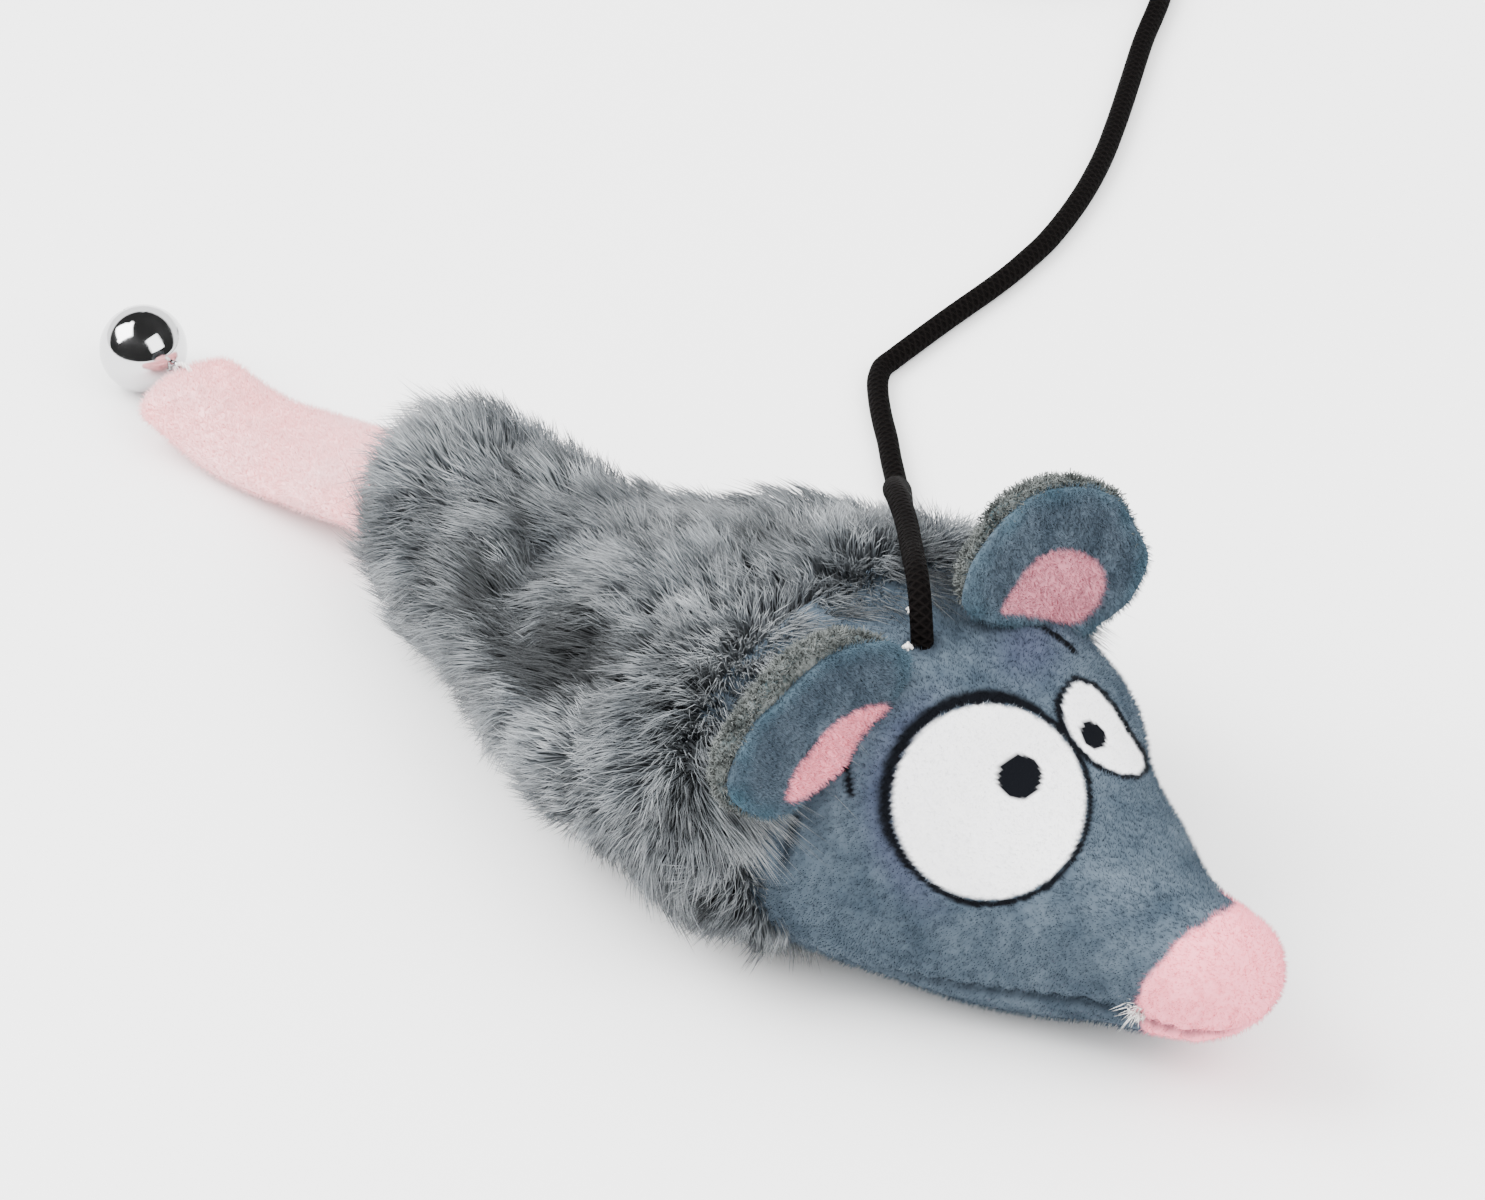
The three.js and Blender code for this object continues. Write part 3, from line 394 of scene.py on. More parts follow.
def makeTube(name, path, radius, sides, material, body):
    # a closed round cord with its own map: turns round it, and diameters along it
    count = len(path)
    last, tip = (count - 1) * sides, count * sides
    turn = np.arange(sides)
    following = (turn + 1) % sides
    walls = gridFaces(count, sides, wrap=True)[:, ::-1]
    start = np.stack([np.full(sides, tip), following, turn], -1)
    end = np.stack([np.full(sides, tip + 1), last + turn, last + following], -1)
    points = np.vstack([tubeRings(path, radius, sides).reshape(-1, 3), path[:1], path[-1:]])
    piece = meshFrom(name, points, [walls, start, end], material, body)
    corners = np.zeros(len(piece.data.loops), np.int32)
    piece.data.loops.foreach_get("vertex_index", corners)
    onSide, place = corners < tip, np.arange(len(corners))
    around = np.where(onSide, corners % sides, 0) / sides
    around[(place < walls.size) & (around == 0) & (place % 4 < 2)] = 1.0
    along = lengthsAlong(path) / (2 * radius)
    distance = np.where(onSide, along[np.minimum(corners // sides, count - 1)], 0)
    layer = piece.data.uv_layers.new(name="cordMap")
    layer.data.foreach_set("uv", np.stack([around, distance], -1).astype(np.float32).ravel())
    return piece


def makeCordMaterial():
    material, tree, shader = makeMaterial("blackElastic", cordSize["tone"], 0.8, **{"Specular IOR Level": 0.02})
    place = addNode(tree, "SeparateXYZ", {0: addNode(tree, "UVMap", uv_map="cordMap").outputs[0]}).outputs
    reach = mathNode(tree, "MULTIPLY", place[1], cordSize["threadPitch"] * 2 * math.pi)
    slants = []
    for turns in (cordSize["threadTurns"], -cordSize["threadTurns"]):  # the two ways in which the cover's threads wind
        turn = mathNode(tree, "MULTIPLY", place[0], turns * 2 * math.pi)
        slants.append(mathNode(tree, "SINE", mathNode(tree, "ADD", turn, reach)))
    rib = mathNode(tree, "MAXIMUM", *slants)
    wear = mixColor(tree, mathNode(tree, "MULTIPLY", rib, 0.35, clamp=True), cordSize["tone"], cordSize["worn"])
    setInputs(tree, shader, {"Base Color": wear, "Normal": addBump(tree, rib, 0.7, 0.0004)})
    return material


cordMaterial = makeCordMaterial()
eachWay = (cordSize["coilLoops"] - 0.5) / 2
outerRadius = cordSize["coilMidRadius"] + cordSize["coilPitch"] * eachWay / 2
heading = math.atan2(*(coilStart - cordRoute[-1, :2])[::-1])
firstAngle = heading - math.pi / 2
coilMiddle = coilStart - outerRadius * np.array([math.cos(firstAngle), math.sin(firstAngle)])
flatWay = np.array([math.cos(heading), math.sin(heading), 0])  # the whole number of loops ends the way it starts
sideWay = np.array([-flatWay[1], flatWay[0], 0])


def coilPoint(turns):
    radius = outerRadius + cordSize["coilPitch"] * (max(turns - eachWay - 0.5, 0) - min(turns, eachWay))
    climb = min(max((turns - eachWay) * 2, 0), 1)
    angle = firstAngle + 2 * math.pi * turns
    rise = cordSize["coilLayer"] * climb * climb * (3 - 2 * climb)
    return [*(coilMiddle + radius * np.array([math.cos(angle), math.sin(angle)])), cordSize["diameter"] / 2 + rise]


def makeCord():
    radius = cordSize["diameter"] / 2
    loops = cordSize["coilLoops"]
    coil = [coilPoint(turns) for turns in np.linspace(0, loops, loops * cordSize["stepsPerLoop"] + 1)]
    coilEnd = np.array(coil[-1])
    knotMiddle = coilEnd + flatWay * (cordSize["endLead"] + cordSize["knotLength"] / 2 + cordSize["knotGap"])
    knotMiddle[2] = cordSize["knotRadius"]
    intoKnot = knotMiddle - flatWay * 2
    points = [cordExit - (0, 0, cordSize["insideHead"]), cordExit, *cordRoute, *coil,
              coilEnd + flatWay * cordSize["endLevel"], intoKnot - flatWay * 5, intoKnot]
    path = smoothPath(points, cordSize["spacing"])
    path[:, 2] = np.maximum(path[:, 2], radius)
    cord = makeTube("elasticCord", path, radius, cordSize["sides"], cordMaterial, None)
    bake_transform(cord)
    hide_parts("elastic_cord", "cord_coil")
    knot = makeKnot(knotMiddle, radius)
    loop, loopPath = makeEndLoop(knotMiddle, radius)
    return path


def makeKnot(middle, radius):
    # an overhand knot drawn tight, its crossings one over the other
    turn = np.linspace(0, 2 * np.pi, cordSize["knotSteps"], endpoint=False)[:, None]
    across = cordSize["knotSize"] * (np.sin(turn) + 2 * np.sin(2 * turn))
    upright = cordSize["knotSize"] * (np.cos(turn) - 2 * np.cos(2 * turn))
    along = cordSize["knotReach"] * np.sin(3 * turn)
    path = middle + across * sideWay + upright * [0, 0, 1] + along * flatWay
    path = np.vstack([path, path[:1]])
    knot = makeTube("endKnot", path, radius, cordSize["knotSides"], cordMaterial, "trunk")
    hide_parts("end_knot")
    return knot


def makeEndLoop(knotMiddle, radius):
    root = knotMiddle + flatWay * (cordSize["knotLength"] / 2 + cordSize["knotGap"])
    bend, near = cordSize["loopBend"], radius + cordSize["knotGap"]
    leg = cordSize["loopLength"] - bend
    share = np.linspace(0, 1, 12)[:-1]
    spread = near + (bend - near) * share**2 * (3 - 2 * share)
    turn = np.linspace(0, np.pi, 13)
    along = np.r_[leg * share, leg + bend * np.sin(turn), leg * share[::-1]]
    across = np.r_[-spread, -bend * np.cos(turn), spread[::-1]]
    points = root + along[:, None] * flatWay + across[:, None] * sideWay
    points[:, 2] = radius + (root[2] - radius) * (1 - np.minimum(along / leg, 1)) ** 2
    path = smoothPath(points, cordSize["spacing"])
    loop = makeTube("endLoop", path, radius, cordSize["sides"], cordMaterial, "trunk")
    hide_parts("end_loop")
    return loop, path


cordPath = makeCord()


# effects that several plush pieces share
def makePileGroup():
    # short mottled pile: a tone that drifts in patches and grains, and the height of its bump
    group, start, end = makeGroup("pileMottle", [
        ("Deep", "Color", (0.05, 0.08, 0.12, 1)), ("Light", "Color", (0.2, 0.27, 0.34, 1)),
        ("Patch Scale", "Float", 60.0), ("Grain Scale", "Float", 900.0), ("Grain", "Float", 0.5)],
        [("Color", "Color"), ("Height", "Float")])
    patch = objectNoise(group, Scale=start.outputs["Patch Scale"], Detail=4.0, Roughness=0.62)
    grain = objectNoise(group, Scale=start.outputs["Grain Scale"], Detail=3.0, Roughness=0.7)
    rise = mathNode(group, "MULTIPLY", mathNode(group, "SUBTRACT", grain, 0.5), start.outputs["Grain"])
    sharper = mapRange(group, mathNode(group, "ADD", patch, rise), (0.3, 0.72))
    tone = mixColor(group, sharper, start.outputs["Deep"], start.outputs["Light"])
    setInputs(group, end, {"Color": tone, "Height": grain})
    return group


pileGroup = makePileGroup()
dyesAndShade = {"violet": (0.04, 0.04, 0.085), "teal": (0.03, 0.10, 0.135), "pink": ((0.80, 0.20, 0.27), (0.95, 0.37, 0.43)),
        "white": ((0.78, 0.78, 0.80), (0.94, 0.94, 0.95)), "black": (0.003, 0.0035, 0.005),
        "shade": (0.006, 0.009, 0.014), "tip": (0.75, 0.8, 0.85)}


def makePlush(name, deep, light, patchScale, grainScale, grain, bump, tipLight=0.25):
    # plush cloth whose colour attributes are print (white and black ink, pink dye) and stain (violet near the
    #     # prints, teal at the ears' edges, and painted shade in the seams, creases and round the cord's exit)
    material, tree, shader = makeMaterial(name, light, 0.95, **{"Specular IOR Level": 0.05})
    tone, height = addNode(tree, "Group", {"Deep": deep, "Light": light, "Patch Scale": patchScale,
                                           "Grain Scale": grainScale, "Grain": grain}, node_tree=pileGroup).outputs
    inks, stainsAndShade = (addNode(tree, "SeparateColor", {0: readAttribute(tree, label, "Color")}).outputs
                    for label in ("print", "stainAndShade"))
    pink, white = (mixColor(tree, height, *dyesAndShade[label]) for label in ("pink", "white"))
    # the last mix lays painted shade over the seams, the creases and the cord's exit
    for share, dye in ((stainsAndShade[0], dyesAndShade["violet"]), (stainsAndShade[1], dyesAndShade["teal"]), (inks[2], pink), (inks[0], white),
                       (inks[1], dyesAndShade["black"]), (stainsAndShade[2], dyesAndShade["shade"])):
        tone = mixColor(tree, share, tone, dye)
    brighter = mathNode(tree, "MULTIPLY", readAttribute(tree, "tip"), tipLight)
    setInputs(tree, shader, {"Base Color": mixColor(tree, brighter, tone, dyesAndShade["tip"], "SOFT_LIGHT"),
                             "Normal": addBump(tree, height, 0.6, bump)})
    return material


def makeStrands(name, roots, middles, tips, width, material, body, attributes):
    # three-sided hairs that narrow to a point, bent once; `attributes` hold a value or colour for each hair
    way = unit(tips - roots)
    side = unit(np.cross(way, chance.normal(size=way.shape)))
    over = np.cross(way, side)
    angles = np.arange(3) * 2 * np.pi / 3
    spokes = side[:, None] * np.cos(angles)[:, None] + over[:, None] * np.sin(angles)[:, None]
    width = np.asarray(width).reshape(-1, 1, 1) / 2
    bent = middles is not None
    rings = [roots[:, None] + spokes * width] + ([middles[:, None] + spokes * width * 0.8] if bent else [])
    points = np.concatenate(rings + [tips[:, None]], 1)
    perHair = points.shape[1]
    base = np.arange(len(roots))[:, None, None] * perHair
    turn = np.arange(3)
    following = (turn + 1) % 3
    top = 3 if bent else 0
    last = np.stack([turn + top, following + top, np.full(3, perHair - 1)], -1)
    blocks = [(base + last).reshape(-1, 3), (base + np.array([[2, 1, 0]])).reshape(-1, 3)]
    if bent:
        walls = np.stack([turn, following, following + 3, turn + 3], -1)
        blocks.append((base + walls).reshape(-1, 4))
    along = np.zeros(perHair)
    along[3:] = 0.6 if bent else 1
    along[-1] = 1
    values = {label: np.repeat(np.asarray(each), perHair, axis=0) for label, each in attributes.items()}
    values["tip"] = np.tile(along, len(roots))
    return meshFrom(name, points.reshape(-1, 3), blocks, material, body, attributes=values)


def scatter(rows, columns, points, count, weight=None):
    # random places on a grid of points: (row, column) as fractions, more of them where quads are larger
    grid = points.reshape(rows, columns, 3)
    area = np.linalg.norm(np.cross(grid[1:, :-1] - grid[:-1, :-1], grid[:-1, 1:] - grid[:-1, :-1]), axis=-1)
    if weight is not None:
        area = area * weight
    share = np.cumsum(area.ravel())
    pick = np.searchsorted(share, chance.uniform(0, share[-1], count))
    return pick // (columns - 1) + chance.uniform(size=count), pick % (columns - 1) + chance.uniform(size=count)


def readGrid(grid, row, column):
    # values of a grid of points at fractional rows and columns
    low, left = np.floor(row).astype(int), np.floor(column).astype(int)
    low, left = np.minimum(low, grid.shape[0] - 2), np.minimum(left, grid.shape[1] - 2)
    down, across = (row - low)[:, None], (column - left)[:, None]
    return ((grid[low, left] * (1 - across) + grid[low, left + 1] * across) * (1 - down)
            + (grid[low + 1, left] * (1 - across) + grid[low + 1, left + 1] * across) * down)


def makeSheet(name, grid, normals, values, material, wall, weld=None):
    # cloth over a grid, as thick as its wall; the values lie on the same grid
    flat, faces = grid.reshape(-1, 3), gridFaces(*grid.shape[:2])
    faces = facesAlong(flat, faces, normals.reshape(-1, 3)[faces[:, 0]])
    values = {label: value.reshape(-1, 3) if value.ndim == 3 else value.ravel() for label, value in values.items()}
    sheet = meshFrom(name, flat, faces, material, None, attributes=values)
    if weld:
        editMesh(sheet, bpy.ops.mesh.remove_doubles, threshold=weld)
    applyModifier(sheet, "SOLIDIFY", thickness=wall * mm, offset=-1)
    return sheet


def growPile(name, grid, normals, hairs, length, width, material, body, values, lean, curl, rise=0.8, settle=0.7,
             shortest=0.7, weight=None, trim=None):
    # short hairs that stand on a grid; `trim` turns the values at their roots into a share of the length
    row, column = scatter(*grid.shape[:2], grid.reshape(-1, 3), hairs, weight)
    root, out = readGrid(grid, row, column), unit(readGrid(normals, row, column))
    read = {label: readGrid(value, row, column) for label, value in values.items()}
    comb = np.array(lean) + curl * chance.normal(size=root.shape)
    comb -= out * np.sum(comb * out, 1, keepdims=True) * settle
    lengths = length * chance.uniform(shortest, 1.25, hairs) * (trim(read) if trim else 1)
    tip = root + unit(out * rise + comb) * lengths[:, None]
    tip[:, 2] = np.maximum(tip[:, 2], 0.05)
    isCurly = curl > 0.5
    middle = root + (tip - root) * 0.55 + curl * 0.35 * length * chance.normal(size=root.shape) if isCurly else None
    makeStrands(name, root - out * 0.15, middle, tip, np.full(hairs, width), material, body, read)


def smoothOutline(points, count=8):
    # a rounded closed outline through a few points
    points = np.asarray(points, float)
    p0, p1, p2, p3 = (np.roll(points, shift, axis=0) for shift in (1, 0, -1, -2))
    t = np.linspace(0, 1, count, endpoint=False)[:, None, None]
    square, cube = (2 * p0 - 5 * p1 + 4 * p2 - p3) * t**2, (3 * p1 - 3 * p2 + p3 - p0) * t**3
    curve = 0.5 * (2 * p1 + (p2 - p0) * t + square + cube)
    return curve.transpose(1, 0, 2).reshape(-1, points.shape[1])


def ease(value, low, high):
    share = np.clip((value - low) / (high - low), 0, 1)
    return share * share * (3 - 2 * share)


# head: printed cover and chin panel
headSize = {"length": 74, "halfWidth": 31, "height": 45.5, "restCut": 0.5, "noseRound": 7, "hem": 8,
            "seamAtNose": 13.5, "seamAtNeck": 5.5, "seamDepth": 0.9, "seamReach": 1.1, "lumps": 0.35, "farBulge": 1.5,
            "rows": 190, "columns": 200, "chinColumns": 90, "pile": 0.95, "pileWidth": 0.125, "tipRows": 25,
            "coverHairs": 46000, "chinHairs": 12000, "cordMound": 0.8, "moundReach": 3.2, "pinkBehind": 15,
            "pucker": 0.25, "puckerReach": 3.5, "seamShade": 0.75, "foldShade": 0.8, "exitShade": 0.7,
            "exitReach": 2.6, "wall": 1.2,
            "deep": (0.034, 0.049, 0.066), "light": (0.082, 0.107, 0.134)}
headShares = [[0, 0.27, 0.54, 0.24], [0.11, 0.305, 0.565, 0.19], [0.27, 0.352, 0.59, 0.11],
              [0.405, 0.503, 0.64, 0.045], [0.57, 0.7, 0.745, 0.015], [0.675, 0.86, 0.88, 0.01],
              [0.77, 0.945, 0.96, 0], [0.86, 0.98, 0.99, 0], [1, 1, 1, 0]]
neckHeight = headSize["height"] / 2 - headSize["restCut"]
# prints and creases, in pixels of the photograph's frame
nearEye = {"middle": (989, 802), "radii": (97, 98), "line": 6.5, "broad": 5, "broadWay": (-0.75, -0.65),
           "broadReach": 75}
farLine = {"thin": 4, "broad": 3.5, "start": 1085, "reach": 30}
violetCast = {"spot": (1030, 645), "spotReach": 34, "spotShare": 0.5, "ring": 114, "ringReach": 18, "ringShare": 0.4}
farEye = [(1075, 682.5), (1062, 703), (1066, 722), (1072, 737), (1080, 747), (1093, 760), (1108, 769), (1123, 774),
          (1137, 775), (1143, 770), (1145, 765), (1140, 752), (1130, 737), (1120, 720), (1108, 702), (1097, 690),
          (1087, 684)]
pupils = [((1019.6, 776.7), (23, 23), 0), ((1093.3, 735.3), (16, 11.5), 49)]  # middle, radii, turn in degrees
noseEdge = [(1290, 880), (1235, 905), (1180, 940), (1150, 975), (1138, 1000), (1136, 1012), (1150, 1040),
            (1290, 1060)]
inkLines = [([(844.6, 750), (846, 765), (851.7, 795)], 4.0),  # line, half width
            ([(1013, 616), (1040, 626), (1062, 640), (1076, 653)], 2.6)]
creases = [([(793, 818), (787, 838), (781, 862)], 5.0, 1.1)]  # line, half width, depth in millimetres


def headSection(behind):
    size = headSize
    along = np.clip(behind / size["length"], 0, 1)
    share = roundedShare(behind, size["noseRound"])
    ball = np.sqrt(1 - (np.clip(behind - size["length"], 0, None) / (size["height"] / 2)) ** 2)
    halfWidth = size["halfWidth"] * readShare(headShares, 1, along) * share
    top, bottom = (size["height"] * readShare(headShares, column, along) - size["restCut"] for column in (2, 3))
    return halfWidth * np.sqrt(ball), (top + bottom) / 2, (top - bottom) / 2 * share * ball


def headRing(behind, upper, columns):
    # one row of the cover (upper) or of the chin panel, from the seam on one side to the other
    halfWidth, middle, halfHeight = headSection(np.array([float(behind)]))
    seam = headSize["seamAtNose"] + (headSize["seamAtNeck"] - headSize["seamAtNose"]) * behind / headSize["length"]
    share = np.clip((seam - middle[0]) / max(halfHeight[0], 1e-4), -0.93, 0.93)
    seamAngle = math.asin(math.copysign(abs(share) ** (2.25 / 2), share))
    first, last = (seamAngle, math.pi - seamAngle) if upper else (math.pi - seamAngle, 2 * math.pi + seamAngle)
    angle = np.linspace(first, last, 900)
    y = halfWidth * softPower(np.cos(angle))
    z = middle + halfHeight * softPower(np.sin(angle))
    walk = lengthsAlong(np.stack([y, z], -1))
    steps = np.linspace(0, walk[-1], columns)
    ring = np.stack([np.full(columns, noseX - behind), np.interp(steps, walk, y), np.interp(steps, walk, z)], -1)
    return ring, steps, walk[-1] - steps


def headGrid(upper, columns):
    size = headSize
    turn = np.linspace(0, math.pi / 2, size["tipRows"] + 1)[:-1]
    distances = np.r_[size["noseRound"] * (1 - np.cos(turn)),
                      np.linspace(size["noseRound"], size["length"] + size["hem"], size["rows"] - size["tipRows"])]
    grid, before, after = (np.array(part) for part in zip(*[headRing(each, upper, columns) for each in distances]))
    return distances, grid, np.minimum(before, after)


def pathGap(pixels, line):
    # distance in pixels from each point to a broken line
    least = np.full(len(pixels), 1e9)
    for start, end in zip(np.array(line[:-1], float), np.array(line[1:], float)):
        share = np.clip(((pixels - start) @ (end - start)) / ((end - start) @ (end - start)), 0, 1)
        least = np.minimum(least, np.linalg.norm(pixels - start - share[:, None] * (end - start), axis=1))
    return least


def insideGap(pixels, outline):
    # signed distance in pixels to a closed outline, above zero inside
    outline = np.array([*outline, outline[0]], float)
    inside = np.zeros(len(pixels), bool)
    for (x0, y0), (x1, y1) in zip(outline[:-1], outline[1:]):
        crosses = (y0 > pixels[:, 1]) != (y1 > pixels[:, 1])
        inside ^= crosses & (pixels[:, 0] < (x1 - x0) * (pixels[:, 1] - y0) / (y1 - y0 + 1e-12) + x0)
    return np.where(inside, 1, -1) * pathGap(pixels, outline)


def eyeInks(reach, line, blur, jitter, lineJitter):
    # white of a round eye and its black outline; reach is 100 at the edge of the white
    ring = reach + lineJitter
    return (ease(100 - reach + jitter, -1.5, 2.5),
            ease(ring, 99, 102) * (1 - ease(ring, 100 + line, 100 + line + blur)))


def headPrints(points, normals):
    # ink masks of the head: as seen where it faces the camera, and mirrored on the side that doesn't
    facing = ease(normals @ cameraTurn[:, 2], 0.0, 0.12)
    pixels = toPixel(points)
    jitter = softWaves(points, 1.6, 3) * 1.2
    offset = pixels - nearEye["middle"]
    reach = np.linalg.norm(offset / nearEye["radii"], axis=1) * 100
    corner = ease(offset @ nearEye["broadWay"], 0, nearEye["broadReach"])  # the outline is broad at the upper left
    white, black = eyeInks(reach, nearEye["line"] + nearEye["broad"] * corner, 3 + 6 * corner, jitter, jitter)
    farGap = insideGap(pixels, smoothOutline(farEye)) + jitter * 0.7
    farWidth = farLine["thin"] + farLine["broad"] * ease(farLine["start"] - pixels[:, 0], 0, farLine["reach"])
    farWhite = ease(farGap, -1, 1.5)
    white = np.maximum(white, farWhite)
    black = np.maximum(black, ease(farGap, -farWidth - 2.5, -farWidth) * (1 - farWhite))
    for middle, (wide, high), turn in pupils:
        (x, y), tilt = (pixels - middle).T, math.radians(turn)
        turned = x * math.cos(tilt) + y * math.sin(tilt), y * math.cos(tilt) - x * math.sin(tilt)
        pupil = np.hypot(turned[0] / wide, turned[1] / high) + jitter * 0.02
        black = np.maximum(black, 1 - ease(pupil, 0.94, 1.06))
    for inkLine, half in inkLines:
        black = np.maximum(black, 1 - ease(pathGap(pixels, inkLine) + jitter, half - 1, half + 1.5))
    pink = ease(insideGap(pixels, noseEdge) + jitter * 1.5, -3, 3)
    pink = pink * facing + (1 - facing) * ease(noseX - headSize["pinkBehind"] - points[:, 0], 1.0, -1.0)
    farSide = (1 - facing) * (points[:, 1] > 0)  # the part of the far eye that the picture doesn't show
    mirrored = (toPixel(points * [1, -1, 1]) - nearEye["middle"]) / nearEye["radii"]
    sideWhite, sideBlack = eyeInks(np.linalg.norm(mirrored, axis=1) * 100, 6, 6, jitter, 0)
    seen = np.stack([white * facing + farSide * sideWhite, black * facing + farSide * sideBlack, pink], -1)
    cast = violetCast
    spot = cast["spotShare"] * np.exp(-((np.linalg.norm(pixels - cast["spot"], axis=1) / cast["spotReach"]) ** 2))
    ring = cast["ringShare"] * np.exp(-(((reach - cast["ring"]) / cast["ringReach"]) ** 2))
    return seen, np.maximum(spot, ring * ease(-offset[:, 0], 20, 90)) * facing


def makeHeadPanel(name, node, upper, columns, hairs, material):
    size = headSize
    distances, grid, seamGap = headGrid(upper, columns)
    shape = grid.shape[:2]
    normals = gridNormals(grid, grid - [noseX - 35, 0, 20])
    x, y, z = np.moveaxis(grid, -1, 0)
    nose = ease(distances, 0, 4)[:, None]
    valley = np.exp(-((seamGap / size["seamReach"]) ** 2)) * nose
    pucker = np.sin(x * 2.1 + 2 * np.sin(x * 0.35)) * np.exp(-((seamGap / size["puckerReach"]) ** 2))
    inward = size["seamDepth"] * valley - (size["pucker"] * pucker + size["lumps"] * softWaves(grid, 21, 5)) * nose
    exitGap = np.linalg.norm(grid - cordExit, axis=-1)
    inward -= size["cordMound"] * np.exp(-((exitGap / size["moundReach"]) ** 2))  # the cloth stands up round the cord
    inward -= size["farBulge"] * ease(y, 3, 16) * ease(z, 10, 22) * ease(x, 52, 74) * (1 - ease(x, 98, 114))
    fold = np.zeros(shape)
    for line, half, depth in creases:
        gap = pathGap(toPixel(grid).reshape(-1, 2), line).reshape(shape) / half
        fold = np.maximum(fold, np.exp(-(gap**2)))
        inward += depth * np.exp(-((gap / 1.6) ** 2)) * (normals @ cameraTurn[:, 2] > 0.15)
    grid = grid - normals * inward[..., None]
    grid[..., 2] = np.maximum(grid[..., 2], 0)
    inks, violet = headPrints(grid.reshape(-1, 3), normals.reshape(-1, 3))
    # painted shade: darker in the seam's valley, in the creases that face the camera and round the cord's exit
    depth = np.maximum(size["seamShade"] * valley, size["foldShade"] * fold * (normals @ cameraTurn[:, 2] > 0.1))
    depth = np.maximum(depth, size["exitShade"] * np.exp(-((exitGap / size["exitReach"]) ** 4)))
    values = {"print": inks.reshape(*shape, 3), "stainAndShade": np.stack([violet.reshape(shape), depth * 0, depth], -1)}
    panel = makeSheet(name, grid, normals, {**values, "tip": np.zeros(shape)}, material, size["wall"])
    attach(panel, "head")
    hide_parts(node)
    growPile(name + "Pile", grid, normals, hairs, size["pile"], size["pileWidth"], material, "head", values,
             (-0.55, 0, -0.25), 0.28, rise=0.75, settle=1, shortest=0.75,
             weight=distances[1:, None] < size["length"] + 1,
             trim=lambda read: (1 - 0.45 * read["stainAndShade"][:, 2]) * (1 - read["print"] @ [0.5, 0.5, 0.2]))
    return grid


headPlush = makePlush("printedPlush", headSize["deep"], headSize["light"], patchScale=150.0, grainScale=1700.0,
                      grain=0.3, bump=0.00015)
coverGrid = makeHeadPanel("headCover", "head_cover", True, headSize["columns"], headSize["coverHairs"], headPlush)
makeHeadPanel("chinPanel", "chin_panel", False, headSize["chinColumns"], headSize["chinHairs"], headPlush)
print("head cover and chin panel are sewn")


# ears: plush in front, curly fleece behind
earSize = {"frontWall": 2.0, "backWall": 2.6, "cup": 1.0, "edgePower": 3.0, "rings": 32, "rimRings": 11,
           "frontHairs": 9000, "frontPile": 1.0, "frontWidth": 0.12, "frontIn": -0.3, "teal": 0.28,
           "backHairs": 10500, "fleecePile": 1.2, "fleeceWidth": 0.19, "fleeceIn": -0.8, "gap": 0.15,
           "fleeceDeep": (0.04, 0.045, 0.043), "fleeceLight": (0.175, 0.186, 0.178)}
# each ear's seam: its middle, and the ways outward along it, forward and up; then its outlines, outward and up
ears = {
    "right": {"middle": (60.794, -18, 36.641), "outward": (0.161, -0.804, -0.573), "face": (0.963, 0.001, 0.269),
              "up": (-0.216, -0.595, 0.774), "pink": 0.85,
              "front": [(-16.6, 1.4), (-16.5, 5), (-13.7, 9.6), (-10.1, 13.5), (-5.9, 16.3), (-0.8, 18.4), (4.3, 20.6),
                        (9.5, 21.3), (12.9, 20.2), (14.7, 17.5), (14.5, 13), (12.3, 8.7), (9.8, 7.2), (5.5, 4.7),
                        (0.6, 2.3), (-4.8, 0.5), (-10, -0.4), (-14.9, -0.6)],
              "back": [(-16.4, 2.4), (-16.3, 6.4), (-14.4, 12.2), (-10.9, 16.6), (-6.7, 19.6), (-1.3, 21.5), (5, 22.7),
                       (10, 23.2), (13.1, 21.4), (15, 18.9), (15.4, 15.7), (14.2, 11), (11.9, 7.6), (9, 6.1),
                       (4.8, 4), (-0.1, 1.9), (-5.4, 0.1), (-10.5, -0.8), (-15, -0.8)],
              "band": [(886, 704), (861, 708), (834, 723), (808, 752), (790, 779), (787, 802), (819, 788), (846, 764),
                       (867, 740), (885, 717)]},
    "left": {"middle": (60.794, 18, 36.641), "outward": (0.161, 0.804, -0.573), "face": (0.963, -0.001, 0.269),
             "up": (-0.216, 0.595, 0.774), "pink": 0.5,
             "front": [(-17.2, 2.7), (-17.9, 7.3), (-16, 12.1), (-13.4, 16.2), (-9.3, 19.9), (-3.9, 22.1), (2.2, 23),
                       (7.9, 21.8), (12.3, 18.8), (15.1, 16.1), (15.5, 12.7), (13.7, 8.7), (9.8, 5), (7.2, 2.6),
                       (1.8, 2), (-5.8, 1.6), (-12.5, 1.2)],
             "back": [(-16.3, 3.4), (-17.9, 7.8), (-16.4, 12.4), (-14.6, 17.3), (-10.9, 20.5), (-5.7, 23), (0.3, 24.2),
                      (4.6, 24.1), (8.7, 23), (12.4, 20), (15, 17), (15.8, 13), (14.4, 9.2), (10.6, 5.6),
                      (7.8, 3.2), (2.6, 2.4), (-5, 2.2), (-11.6, 2)],
             "band": [(1001, 611), (1017, 582), (1038, 558), (1064, 549), (1090, 556), (1104, 574), (1101, 598),
                      (1085, 616), (1069, 623), (1048, 619), (1022, 614)]},
}


